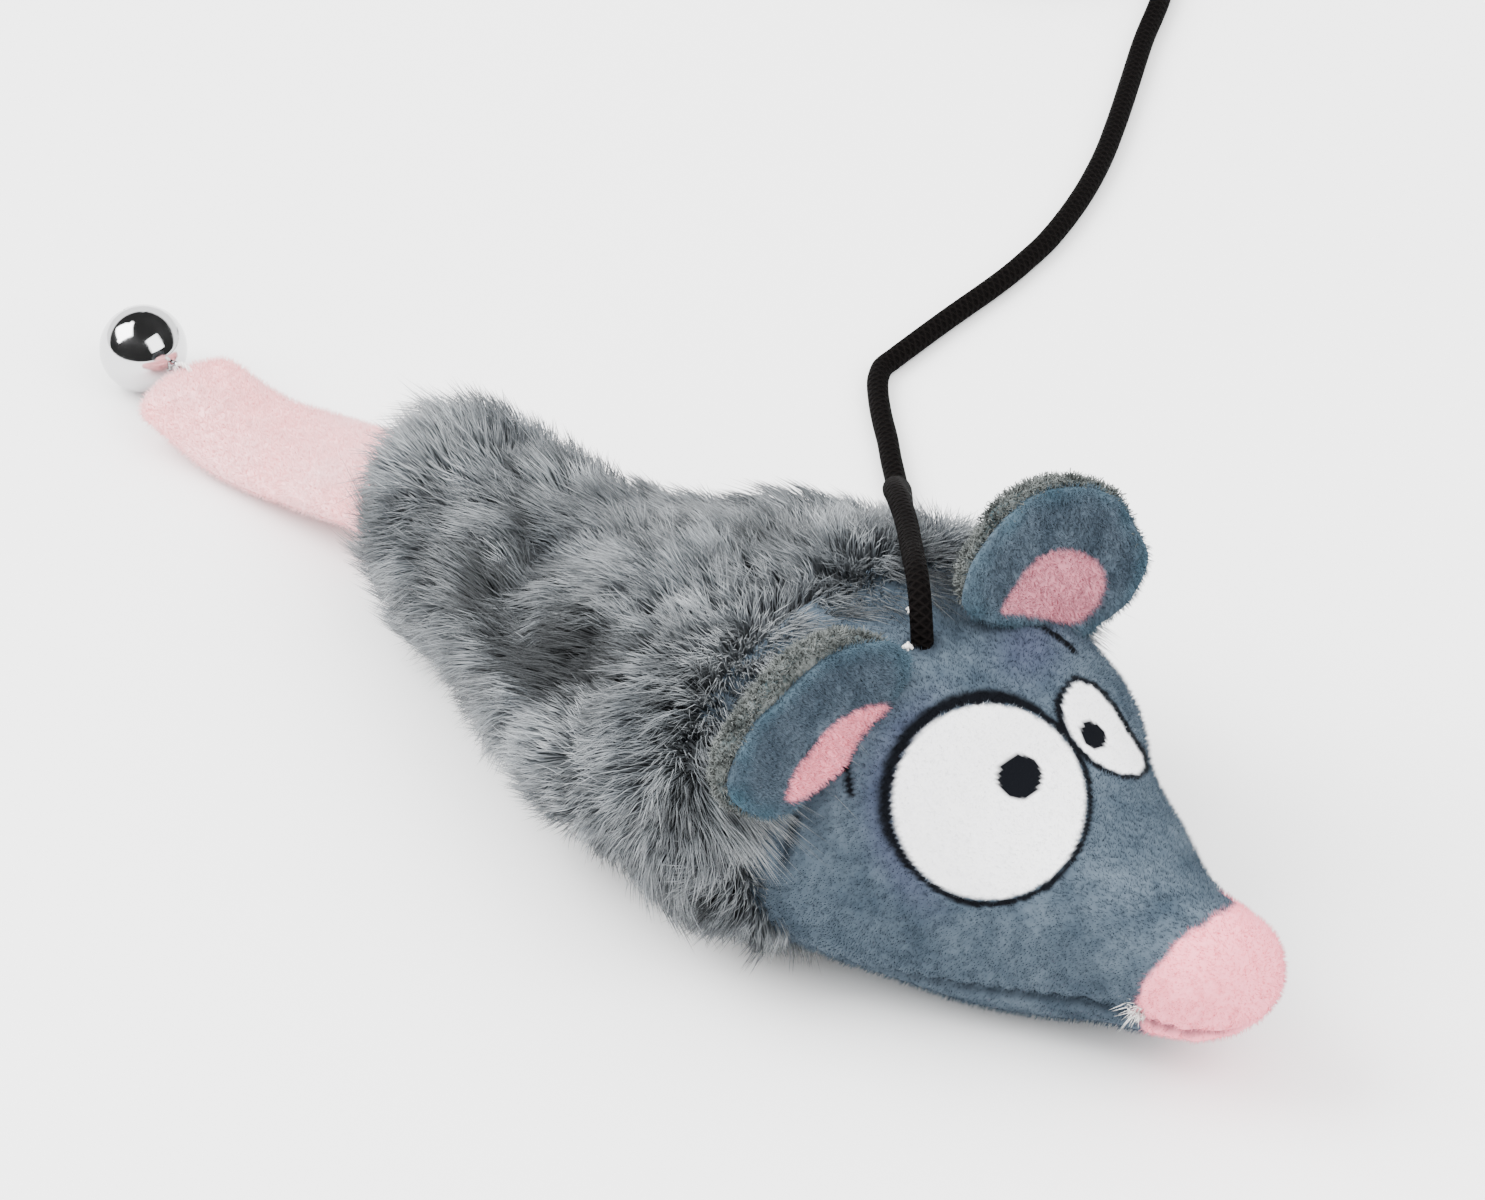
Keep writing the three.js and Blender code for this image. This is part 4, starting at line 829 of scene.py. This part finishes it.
def makeEarLayer(name, node, ear, shape, grow, low, high, material, body):
    # a domed layer between two depths along the ear's face: its front and back grids, its inks and stains
    outline = smoothOutline(ear[shape])
    middle = outline.mean(0)
    outline = middle + (outline - middle) * (1 + grow / np.linalg.norm(outline - middle, axis=1)[:, None])
    sides, rings = len(outline), earSize["rings"]
    share = np.sin(np.linspace(0, math.pi / 2, rings))[:, None, None]
    flat = middle + share * (outline - middle)
    dome, cup = (1 - share ** earSize["edgePower"]) ** (1 / earSize["edgePower"]), earSize["cup"] * share**2
    outward, up, face = (np.array(ear[key]) for key in ("outward", "up", "face"))
    seam = ear["middle"] + flat[..., :1] * outward + flat[..., 1:] * up
    half = (high - low) / 2
    front, back = (seam + ((low + high) / 2 + way * half * dome + cup) * face for way in (1, -1))
    lumps = 0.3 * softWaves(front, 9, 17)[..., None] * face
    front, back = front + lumps, back + lumps
    points = np.vstack([front.reshape(-1, 3), back[:-1].reshape(-1, 3)])
    faces = facesAlong(points, gridFaces(rings, sides, wrap=True), face)
    backFaces = faces[:, ::-1] + rings * sides
    backFaces = np.where(backFaces < len(points), backFaces, backFaces - rings * sides)
    isFront, none = np.arange(len(points)) < rings * sides, np.zeros(len(points))
    band = insideGap(toPixel(points), smoothOutline(ear["band"], 4)) + softWaves(points, 1.6, 8)
    edge = np.tile(np.repeat(share, sides), 2)[: len(points)]
    teal = earSize["teal"] * ease(edge, 0.72, 0.98) * isFront * (0.6 + 0.4 * softWaves(points, 7, 2))
    inks = np.stack([none, none, ease(band, -1.5, 2) * isFront * ear["pink"]], -1)
    stainsAndShade = np.stack([none, np.clip(teal, 0, 1), none], -1)
    layer = meshFrom(name, points, [faces, backFaces], material, None,
                     attributes={"print": inks, "stainAndShade": stainsAndShade, "tip": none})
    editMesh(layer, bpy.ops.mesh.remove_doubles, threshold=0.000005)
    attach(layer, body)
    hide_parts(node)
    return front, back, *(values[: rings * sides].reshape(rings, sides, 3) for values in (inks, stainsAndShade))


def closed(grid):
    return np.concatenate([grid, grid[:, :1]], 1)


def makeEars():
    size = earSize
    fleece = makePlush("greyFleece", size["fleeceDeep"], size["fleeceLight"], patchScale=260.0, grainScale=900.0,
                       grain=1.1, bump=0.0008)
    for side, ear in ears.items():
        body, title, face, up = f"ear_{side}", side.capitalize(), np.array(ear["face"]), np.array(ear["up"])
        layer = makeEarLayer(f"earFront{title}", f"ear_front_{side}", ear, "front", size["frontIn"], -0.2,
                             size["gap"] + size["frontWall"], headPlush, body)
        grid, _, inks, stainsAndShade = (closed(each) for each in layer)
        growPile(f"earFront{title}Pile", grid, gridNormals(grid, face), size["frontHairs"], size["frontPile"],
                 size["frontWidth"], headPlush, body, {"print": inks, "stainAndShade": stainsAndShade}, -0.5 * up, 0.25)
        front, back, *_ = makeEarLayer(f"earBack{title}", f"ear_back_{side}", ear, "back", size["fleeceIn"],
                                       -size["gap"] - size["backWall"], 1.2, fleece, body)
        grid = closed(np.concatenate([back, front[::-1][1:][:size["rimRings"]]]))  # the fleece goes round its rim
        growPile(f"earBack{title}Pile", grid, gridNormals(grid, -face), size["backHairs"], size["fleecePile"],
                 size["fleeceWidth"], fleece, body, {"print": grid * 0, "stainAndShade": grid * 0}, (0, 0, 0.1), 0.75)


makeEars()
print("ears are on")


# body: fur sleeve
furSize = {"length": 104, "halfWidth": 40, "height": 46.5, "restCut": 0.5, "lipRound": 6, "lipDraw": 4, "lipLean": 13,
           "leanReach": 34, "rumpRound": 9, "rolledIn": 8, "skinInset": 5.0, "rows": 120, "columns": 240,
           "wall": 0.9, "lumps": 0.9, "hairs": 86000, "hair": 9.6, "hairWidth": 0.17, "clumps": 2600, "clumpPull": 0.21,
           "zones": 7, "cordSteps": 260, "cordGap": 1.75, "cordClear": 1.85, "cool": (0.055, 0.07, 0.086),
           "root": (0.068, 0.075, 0.082), "middle": (0.145, 0.16, 0.172), "tip": (0.46, 0.48, 0.49)}
# shares of the sleeve: place along, half width, height, sway
furShares = [[0, 0.99, 1, 0], [0.1, 1, 1, 0], [0.22, 0.93, 0.94, 0], [0.33, 0.84, 0.88, -0.01],
             [0.43, 0.72, 0.8, -0.03], [0.53, 0.63, 0.74, -0.02], [0.66, 0.53, 0.69, 0.03],
             [0.78, 0.47, 0.67, 0.085], [0.9, 0.41, 0.64, 0.17], [1, 0.36, 0.56, 0.225]]
# folds: place along, degrees round, reach along, spread in degrees, depth
foldShares = [[0.565, 106, 0.075, 26, 0.065], [0.475, 139, 0.08, 18, 0.075], [0.305, 140, 0.075, 19, 0.09]]
# painted shade and painted light on the fur where it faces the camera: pixel of the photograph's frame, reach in
# pixels, change of tone
furLightAndShade = [((578, 655), (36, 30), -1.5), ((448, 532), (50, 44), -0.4), ((545, 520), (15, 28), -0.5),
              ((498, 590), (18, 38), -0.6), ((740, 612), (60, 24), 0.3), ((575, 745), (75, 36), 0.4),
              ((430, 440), (60, 40), 0.15), ((770, 550), (60, 26), -0.3), ((650, 640), (30, 14), -0.3),
              ((720, 880), (60, 26), -0.15)]


def foldDepth(along, angle):
    depth = np.zeros(np.broadcast(along, angle).shape)
    for place, turn, reach, spread, share in foldShares:
        off = ((along - place) / reach) ** 2 + ((angle - math.radians(turn)) / math.radians(spread)) ** 2
        depth += furSize["height"] * share * np.exp(-off)
    return depth


def furPoint(distance, angle, inset):
    size = furSize
    along = np.clip(distance, 0, size["length"]) / size["length"]
    drawn = size["lipDraw"] * (1 - roundedShare(np.maximum(distance, 0), size["lipRound"]))
    round = roundedShare(size["length"] - distance, size["rumpRound"])
    top = size["height"] * readShare(furShares, 2, along) - size["restCut"]
    halfHeight = ((top + size["restCut"]) / 2 - inset) * round - drawn
    halfWidth = (size["halfWidth"] * readShare(furShares, 1, along) - inset) * round - drawn
    sway = size["halfWidth"] * readShare(furShares, 3, along)
    y = sway + np.maximum(halfWidth, 0) * softPower(np.cos(angle))
    z = (top - size["restCut"]) / 2 + np.maximum(halfHeight, 0) * softPower(np.sin(angle))
    drawnIn = foldDepth(along, angle)
    y, z = y - drawnIn * np.cos(angle), z - drawnIn * np.sin(angle)
    lean = size["lipLean"] * np.maximum(1 - distance / size["leanReach"], 0)
    x = neckX - distance + inset * distance / size["length"] + lean * (1 - z / size["height"])
    return np.stack([x, y, z], -1)


def makeFurMaterial():
    # hairs dark at the root and pale at the tip, with a tone for each hair and each lock; the tone also holds painted
    # shade in creases and folds and painted light and shade in patches
    material, tree, shader = makeMaterial("greyFur", furSize["middle"], 0.6, **{"Specular IOR Level": 0.3})
    tip, tone = (readAttribute(tree, label) for label in ("tip", "tone"))
    lower = mixColor(tree, mathNode(tree, "MULTIPLY", tip, 1.7, clamp=True), furSize["root"], furSize["middle"])
    upper = mathNode(tree, "SUBTRACT", mathNode(tree, "MULTIPLY", tip, 2.2), 1.2, clamp=True)
    color = mixColor(tree, mathNode(tree, "MULTIPLY", upper, tone), lower, furSize["tip"])
    cooler = mapRange(tree, objectNoise(tree, Scale=55.0, Detail=3.0), (0.42, 0.7))
    color = mixColor(tree, mathNode(tree, "MULTIPLY", cooler, 0.45), color, furSize["cool"])
    shade = mapRange(tree, tone, (0.0, 1.0), (0.22, 1.3))
    grey = addNode(tree, "CombineColor", {channel: shade for channel in range(3)}).outputs[0]
    setInputs(tree, shader, {"Base Color": mixColor(tree, 1.0, color, grey, "MULTIPLY")})
    return material


def makeSleeve():
    size = furSize
    material = makeFurMaterial()
    lip, rump = (np.linspace(0, math.pi / 2, count) for count in (8, 14))
    distances = np.r_[np.linspace(-size["rolledIn"], 0, 10)[:-1], size["lipRound"] * (1 - np.cos(lip))[:-1],
                      np.linspace(size["lipRound"], size["length"] - size["rumpRound"], size["rows"]),
                      size["length"] - size["rumpRound"] * (1 - np.sin(rump))[1:]]
    angles = np.linspace(0, 2 * np.pi, size["columns"] + 1)
    distance, angle = np.meshgrid(distances, angles, indexing="ij")
    grid = furPoint(np.maximum(distance, 0), angle, size["skinInset"])
    inMouth = np.maximum(-distance, 0)[..., None]  # the edge rolls in and runs back round the neck
    grid = grid + inMouth * np.array([-0.95, 0, 0]) - inMouth * 0.05 * (grid - [neckX, 0, neckHeight]) * [0, 1, 1] / 20
    normals = gridNormals(grid, grid - grid.mean((0, 1)))
    lumps = softWaves(grid, 26, 31) * size["lumps"]
    skin = grid + normals * (lumps * ease(distance, 0, 12))[..., None]
    skin[..., 2] = np.maximum(skin[..., 2], 0.4)
    values = {"tip": np.full(angle.shape, 0.4), "tone": np.full(angle.shape, 0.5)}
    sleeve = makeSheet("furSleeve", skin, normals, values, material, size["wall"], weld=0.00002)
    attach(sleeve, "trunk")
    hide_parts("fur_sleeve")
    growFur(material, distance, angle, skin, normals)


def growFur(material, distance, angle, skin, normals):
    size = furSize
    count, clumps = size["hairs"], size["clumps"]
    onBody = (distance[:-1, :-1] > -1.5) * (1 + 0.9 * (distance[:-1, :-1] < 9))
    onFloor = 1 - 0.55 * ease(6 - skin[:-1, :-1, 2], 0, 5)  # fewer where it lies on the floor
    row, column = scatter(*skin.shape[:2], skin.reshape(-1, 3), count, onBody * onFloor)
    root, out = readGrid(skin, row, column), unit(readGrid(normals, row, column))
    far = readGrid(distance[..., None], row, column)[:, 0]
    chosen = chance.choice(count, clumps, replace=False)
    tree = treeOf(root[chosen])
    nearest = np.array([tree.find(place)[1] for place in root])
    leader = chosen[nearest]
    back, down = out * out[:, :1] - [1, 0, 0], out * out[:, 2:] - [0, 0, 1]
    topness = ease(out[:, 2], 0.15, 0.95)
    toTail = 0.85 * ease(far, 10, 38) - (1.85 * topness - 0.35) * (1 - ease(far, 0, 14))
    toFloor = 0.62 - 0.3 * ease(far, 62, 96)
    clumpTurn = (chance.normal(size=(clumps, 3)) * 0.2)[nearest]
    swirl = np.stack([softWaves(root, 24, seed) for seed in (41, 42, 43)], -1) * 0.42
    comb = back * toTail[:, None] + down * toFloor[:, None] + clumpTurn + swirl + 0.2 * chance.normal(size=root.shape)
    comb -= out * np.sum(comb * out, 1, keepdims=True)
    lift = chance.uniform(0.78, 1.22, clumps)[nearest]
    crease = 0.5 * ease(softWaves(root, 17, 57), 0.35, 1.0) * ease(far, 12, 30)
    folded = readGrid(foldDepth(distance / size["length"], angle)[..., None], row, column)[:, 0]
    crease = np.maximum(crease, 0.8 * np.clip(folded / 4, 0, 1))
    pixels, seen = toPixel(root + out * 3), out @ cameraTurn[:, 2] > 0
    # painted shade and painted light in patches, only on hairs that face the camera
    paintedLightAndShade = sum(change * np.exp(-np.sum(((pixels - middle) / reach) ** 2, 1)) for middle, reach, change in furLightAndShade)
    longer = 0.14 * topness * (1 - ease(far, 6, 20)) - 0.16 * (1 - topness) * (1 - ease(far, 20, 50))
    longer += 0.16 * ease(far, 84, 104)
    length = size["hair"] * (1 + longer) * lift * chance.uniform(0.72, 1.12, count) * (1 - 0.35 * crease)
    tip = root + out * (length * (0.56 - 0.16 * crease))[:, None] + comb * (length * 0.72)[:, None]
    clumpTip = tip[leader] + (tip[leader] - root[leader]) * 0.05
    pull = size["clumpPull"] * chance.uniform(0.55, 1.2, count)
    tip += (clumpTip - tip) * pull[:, None]
    middle = root + (tip - root) * 0.5 + out * (length * 0.13)[:, None]
    # the tone is made darker in creases and folds, which is painted shade
    tone = np.clip(0.5 + 0.16 * chance.normal(size=clumps)[nearest] + 0.13 * chance.normal(size=count)
                   + 0.12 * softWaves(root, 34, 61) - 0.35 * crease + paintedLightAndShade * seen, 0, 1)
    for places in (middle, tip):
        clearCord(places)
        places[:, 2] = np.where(places[:, 2] < 0.25, 0.25 + 0.5 * chance.uniform(size=count), places[:, 2])
    edges = np.quantile(far, np.linspace(0, 1, size["zones"] + 1))
    edges[-1] += 1
    for zone, (near, end) in enumerate(zip(edges[:-1], edges[1:]), 1):
        mine = (far >= near) & (far < end)
        makeStrands(f"furZone{zone}", root[mine] - out[mine] * 0.4, middle[mine], tip[mine],
                    size["hairWidth"] * chance.uniform(0.75, 1.3, mine.sum()), material, "trunk", {"tone": tone[mine]})


def clearCord(places):
    # hairs make way for the cord that lies on them
    tree = treeOf(cordPath[:furSize["cordSteps"]])
    for index in np.flatnonzero((places[:, 0] > -5) & (places[:, 1] > -4) & (places[:, 1] < 58)):
        found, _, gap = tree.find(places[index])
        if gap < furSize["cordGap"]:
            away = Vector(places[index]) - found
            away.z -= 0.6
            places[index] = found + away.normalized() * furSize["cordClear"]


makeSleeve()
print("fur sleeve is combed")


# tail: two pink panels
tailSize = {"length": 47.7, "sewnLength": 47.1, "sewnIn": 2.5, "halfWidth": 10, "thickness": 6, "tipRound": 5.6,
            "rise": 2.5, "sway": 9, "rows": 86, "tipRows": 25, "columns": 70, "fullness": 2.1, "gap": 0.12,
            "wall": 1.0, "hairs": {1: 21000, -1: 10500}, "pile": 1.05, "pileWidth": 0.11,
            "deep": (0.97, 0.46, 0.47), "light": (0.98, 0.64, 0.65)}
# shares of the tail: place along, half width, thickness, sway, rise
tailShares = [[0, 1, 1, -0.05, 1.1], [0.25, 1.04, 1, 0.03, 0.66], [0.5, 1.03, 0.95, 0.07, 0.2],
              [0.7, 0.93, 0.88, -0.03, 0.14], [0.92, 0.92, 0.5, -0.1, 0.56], [1, 1.08, 0.32, -0.06, 0.6]]


def makeTail():
    size = tailSize
    material = makePlush("pinkPlush", size["deep"], size["light"], patchScale=55.0, grainScale=2400.0, grain=0.3,
                         bump=0.00012, tipLight=0.2)
    ending = 1 - np.sin(np.linspace(0, math.pi / 2, size["tipRows"]))
    distances = np.r_[np.linspace(-size["sewnIn"], size["length"] - size["tipRound"], size["rows"]),
                      size["length"] - size["tipRound"] * ending[1:]][:, None]
    along = np.clip(distances / size["sewnLength"], 0, 1)
    width, thickness, sway, rise = (readShare(tailShares, column, along) for column in range(1, 5))
    round = roundedShare(size["length"] - distances, size["tipRound"])
    halfHeight = size["thickness"] / 2 * thickness * (0.35 + 0.65 * round)
    angle = np.linspace(0.02, np.pi - 0.02, size["columns"])
    high = softPower(np.sin(angle), size["fullness"])
    valley = 0.2 * np.exp(-((np.minimum(angle, np.pi - angle) / 0.16) ** 2))
    y = size["sway"] + size["halfWidth"] * (sway + width * round * softPower(np.cos(angle), size["fullness"]))
    for name, node, side in (("tailTop", "tail_top_panel", 1), ("tailBottom", "tail_bottom_panel", -1)):
        outward = np.array([0, 0, side])
        z = size["rise"] + size["thickness"] * rise + side * (size["gap"] + halfHeight * high)
        grid = np.stack(np.broadcast_arrays(rumpX - distances, y, z), -1)
        lumps = 0.35 * softWaves(grid, 12, 71) + 0.12 * softWaves(grid, 3.5, 72)
        grid = grid + outward * (lumps * high - valley)[..., None]
        grid[..., 2] = np.maximum(grid[..., 2], 0.0 if side < 0 else 0.4)
        normals, values = gridNormals(grid, outward), {label: np.zeros(grid.shape) for label in ("print", "stainAndShade")}
        panel = makeSheet(name, grid, normals, {**values, "tip": np.zeros(grid.shape[:2])}, material, size["wall"])
        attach(panel, "tail")
        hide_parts(node)
        growPile(name + "Pile", grid, normals, size["hairs"][side], size["pile"], size["pileWidth"], material, "tail",
                 values, (-0.4, 0, 0), 0.4)


makeTail()
print("tail is sewn")


# jingle bell
bellSize = {"middle": (-113.794, 10.2, 6.5), "loop": (-106.556, 10.2, 6.1), "radius": 6.5, "wall": 0.5,
            "loopRadius": 1.1, "loopWire": 0.35, "slotLength": 9, "slotWidth": 1.2, "slotEnd": 1.0, "pellet": 1.9,
            "pelletGap": 0.4, "tone": (0.57, 0.57, 0.58)}


def makeChrome():
    # bright plating with faint hazy smears and fine scratches
    material, tree, shader = makeMaterial("chrome", bellSize["tone"], 0.05, Metallic=1.0)
    smear = objectNoise(tree, Scale=260.0, Detail=3.0)
    stretch = addNode(tree, "Mapping", {"Vector": objectPlace(tree), "Scale": (1, 14, 1), "Rotation": (0.4, 0.2, 0.7)})
    scratch = addNode(tree, "TexNoise", {"Vector": stretch.outputs[0], "Scale": 900.0}).outputs[0]
    setInputs(tree, shader, {"Roughness": mapRange(tree, smear, (0.45, 0.8), (0.04, 0.16)),
                             "Normal": addBump(tree, scratch, 0.05, 0.0001)})
    return material


def makeBell():
    size = bellSize
    chrome = makeChrome()
    middle = Vector(size["middle"]) * mm
    axis = (Vector(size["loop"]) * mm - middle).normalized()
    turn = Vector((0, 0, 1)).rotation_difference(axis).to_matrix().to_4x4()
    for name, node, way in (("bellLoopShell", "bell_loop_shell", 1), ("bellSlottedShell", "bell_slotted_shell", -1)):
        deselectAll()
        bpy.ops.mesh.primitive_uv_sphere_add(segments=96, ring_count=48, radius=size["radius"] * mm)
        shell = bpy.context.object
        editMesh(shell, bpy.ops.mesh.bisect, plane_co=(0, 0, way * 0.004 * mm), plane_no=(0, 0, way), clear_inner=True)
        applyModifier(shell, "SOLIDIFY", thickness=size["wall"] * mm, offset=-1)
        if way < 0:
            cutSlots(shell)
        else:
            addBellLoop(shell)
        shell.matrix_world = Matrix.Translation(middle) @ turn
        finishPiece(shell, name, chrome, "bell", angle=50)
        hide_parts(node)
    makePellet(middle)


def cutSlots(shell):
    # two crossed slots, round at their ends
    radius, half = bellSize["radius"] * mm, bellSize["slotLength"] / 2 * mm
    cutters = []
    for turn in (0, math.pi / 2):
        deselectAll()
        bpy.ops.mesh.primitive_cube_add(size=1, location=(0, 0, -radius), rotation=(0, 0, turn))
        slot = bpy.context.object
        slot.scale = (2 * half, bellSize["slotWidth"] * mm, radius)
        cutters.append(slot)
        for reach in (-half, half):
            place = Matrix.Rotation(turn, 3, "Z") @ Vector((reach, 0, -0.85 * radius))
            bpy.ops.mesh.primitive_cylinder_add(vertices=32, radius=bellSize["slotEnd"] * mm, depth=radius,
                                                location=place)
            cutters.append(bpy.context.object)
    for cutter in cutters:
        workOn(cutter)
        bpy.ops.object.transform_apply(location=True, rotation=True, scale=True)
        applyModifier(shell, "BOOLEAN", operation="DIFFERENCE", object=cutter, solver="EXACT")
        bpy.data.objects.remove(cutter)


def addBellLoop(shell):
    size = bellSize
    place = (0, 0, size["radius"] + size["loopRadius"] - size["loopWire"])
    loop = addRing(place, size["loopRadius"], size["loopWire"], 40, 14)
    bpy.ops.object.transform_apply(location=True, rotation=True, scale=True)
    applyModifier(shell, "BOOLEAN", operation="UNION", object=loop, solver="EXACT")
    bpy.data.objects.remove(loop)


def makePellet(middle):
    size = bellSize
    deselectAll()
    place = (middle.x, middle.y, (size["wall"] + size["pelletGap"] + size["pellet"]) * mm)
    bpy.ops.mesh.primitive_ico_sphere_add(subdivisions=4, radius=size["pellet"] * mm, location=place)
    steel, tree, shader = makeMaterial("dullSteel", (0.4, 0.4, 0.42), 0.35, Metallic=1.0)
    setInputs(tree, shader, {"Normal": addBump(tree, objectNoise(tree, Scale=700.0), 0.3, 0.0001)})
    pellet = finishPiece(bpy.context.object, "bellPellet", steel, "pellet", angle=80)
    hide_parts("bell_pellet")


makeBell()
print("bell is closed")


# threads and hidden stuffing
threadSize = {"tie": (-104.806, 10.2, 6.1), "tieRadius": 1.75, "radius": 0.35, "tone": (0.86, 0.84, 0.82),
              "tuftPixel": (1133, 1018), "tuftFibres": 160, "tuftWidth": 0.22, "tuftWay": (0.1, -0.9, -0.15),
              "stitchPixels": ((905, 646), (908, 608)), "stitchRadius": 0.24, "stitchSides": 8}


def makeThreadMaterial():
    material, tree, shader = makeMaterial("whiteThread", threadSize["tone"], 0.8, **{"Sheen Weight": 0.2})
    wave = {"Vector": objectPlace(tree), "Scale": 900.0, "Distortion": 1.5, "Detail": 2.0}
    twist = addNode(tree, "TexWave", wave, bands_direction="DIAGONAL").outputs[1]
    setInputs(tree, shader, {"Base Color": mixColor(tree, twist, (0.6, 0.58, 0.56), (0.93, 0.92, 0.9)),
                             "Normal": addBump(tree, twist, 0.5, 0.0002)})
    return material


def surfaceAtPixel(pixel, grid):
    # the point of a grid that the picture shows at a pixel
    flat = grid.reshape(-1, 3)
    gap = np.linalg.norm(toPixel(flat) - np.array(pixel), axis=1)
    near = np.flatnonzero(gap < gap.min() + 3)
    depth = (flat[near] - cameraPlace) @ cameraTurn[:, 2]
    return flat[near[np.argmax(depth)]]


def makeTie(thread):
    ring = addRing(threadSize["tie"], threadSize["tieRadius"], threadSize["radius"], 48, 12)
    tie = finishPiece(ring, "bellTie", thread, "tail", angle=80)
    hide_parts("bell_thread")


def makeTuft(thread):
    # the loose thread end at the jaw
    shape = (threadSize["tuftFibres"], 3)
    out = unit(np.array(threadSize["tuftWay"]))
    root = surfaceAtPixel(threadSize["tuftPixel"], coverGrid) + 0.5 * chance.normal(size=shape) - out * 1.2
    tip = root + (out + 0.55 * chance.normal(size=shape)) * chance.uniform(0.9, 2.2, (shape[0], 1))
    middle = (root + tip) / 2 + 0.3 * chance.normal(size=shape)
    width = np.full(shape[0], threadSize["tuftWidth"])
    tuft = makeStrands("jawThreadEnd", root, middle, tip, width, thread, "head", {})
    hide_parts("jaw_thread_end")


def makeTack(thread):
    # stitches that hold the cord on the cover
    sides, points, faces = threadSize["stitchSides"], [], []
    for pixel in threadSize["stitchPixels"]:
        middle = surfaceAtPixel(pixel, coverGrid)
        for step in unit(chance.normal(size=(4, 3)) * [1, 1, 0.5]) * 0.7:
            path = smoothPath([middle - step, middle + [0, 0, 0.55], middle + step], 0.15)
            faces.append(gridFaces(len(path), sides, wrap=True)[:, ::-1] + sum(len(block) for block in points))
            points.append(tubeRings(path, threadSize["stitchRadius"], sides).reshape(-1, 3))
    tack = meshFrom("cordTack", np.vstack(points), np.vstack(faces), thread, "head")
    workOn(tack)
    bpy.ops.object.mode_set(mode="EDIT")
    bpy.ops.mesh.select_mode(type="EDGE")
    bpy.ops.mesh.select_all(action="DESELECT")
    bpy.ops.mesh.select_non_manifold()
    bpy.ops.mesh.edge_face_add()
    bpy.ops.object.mode_set(mode="OBJECT")
    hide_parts("cord_tack_thread")


def dressHidden():
    # the stuffing and the knot inside the head keep their shapes and get their looks
    stuffing, tree, shader = makeMaterial("stuffingFibre", (0.86, 0.86, 0.84), 1.0)
    fluff = objectNoise(tree, Scale=300.0, Detail=6.0)
    setInputs(tree, shader, {"Base Color": mixColor(tree, fluff, (0.6, 0.6, 0.58), (0.95, 0.95, 0.93))})
    looks = {"head_stuffing": stuffing, "body_stuffing": stuffing, "cord_anchor_knot": cordMaterial}
    for label, material in looks.items():
        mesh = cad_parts[label].data
        mesh.materials.clear()
        mesh.materials.append(material)


whiteThread = makeThreadMaterial()
makeTie(whiteThread)
makeTuft(whiteThread)
makeTack(whiteThread)
dressHidden()
print("threads are tied")
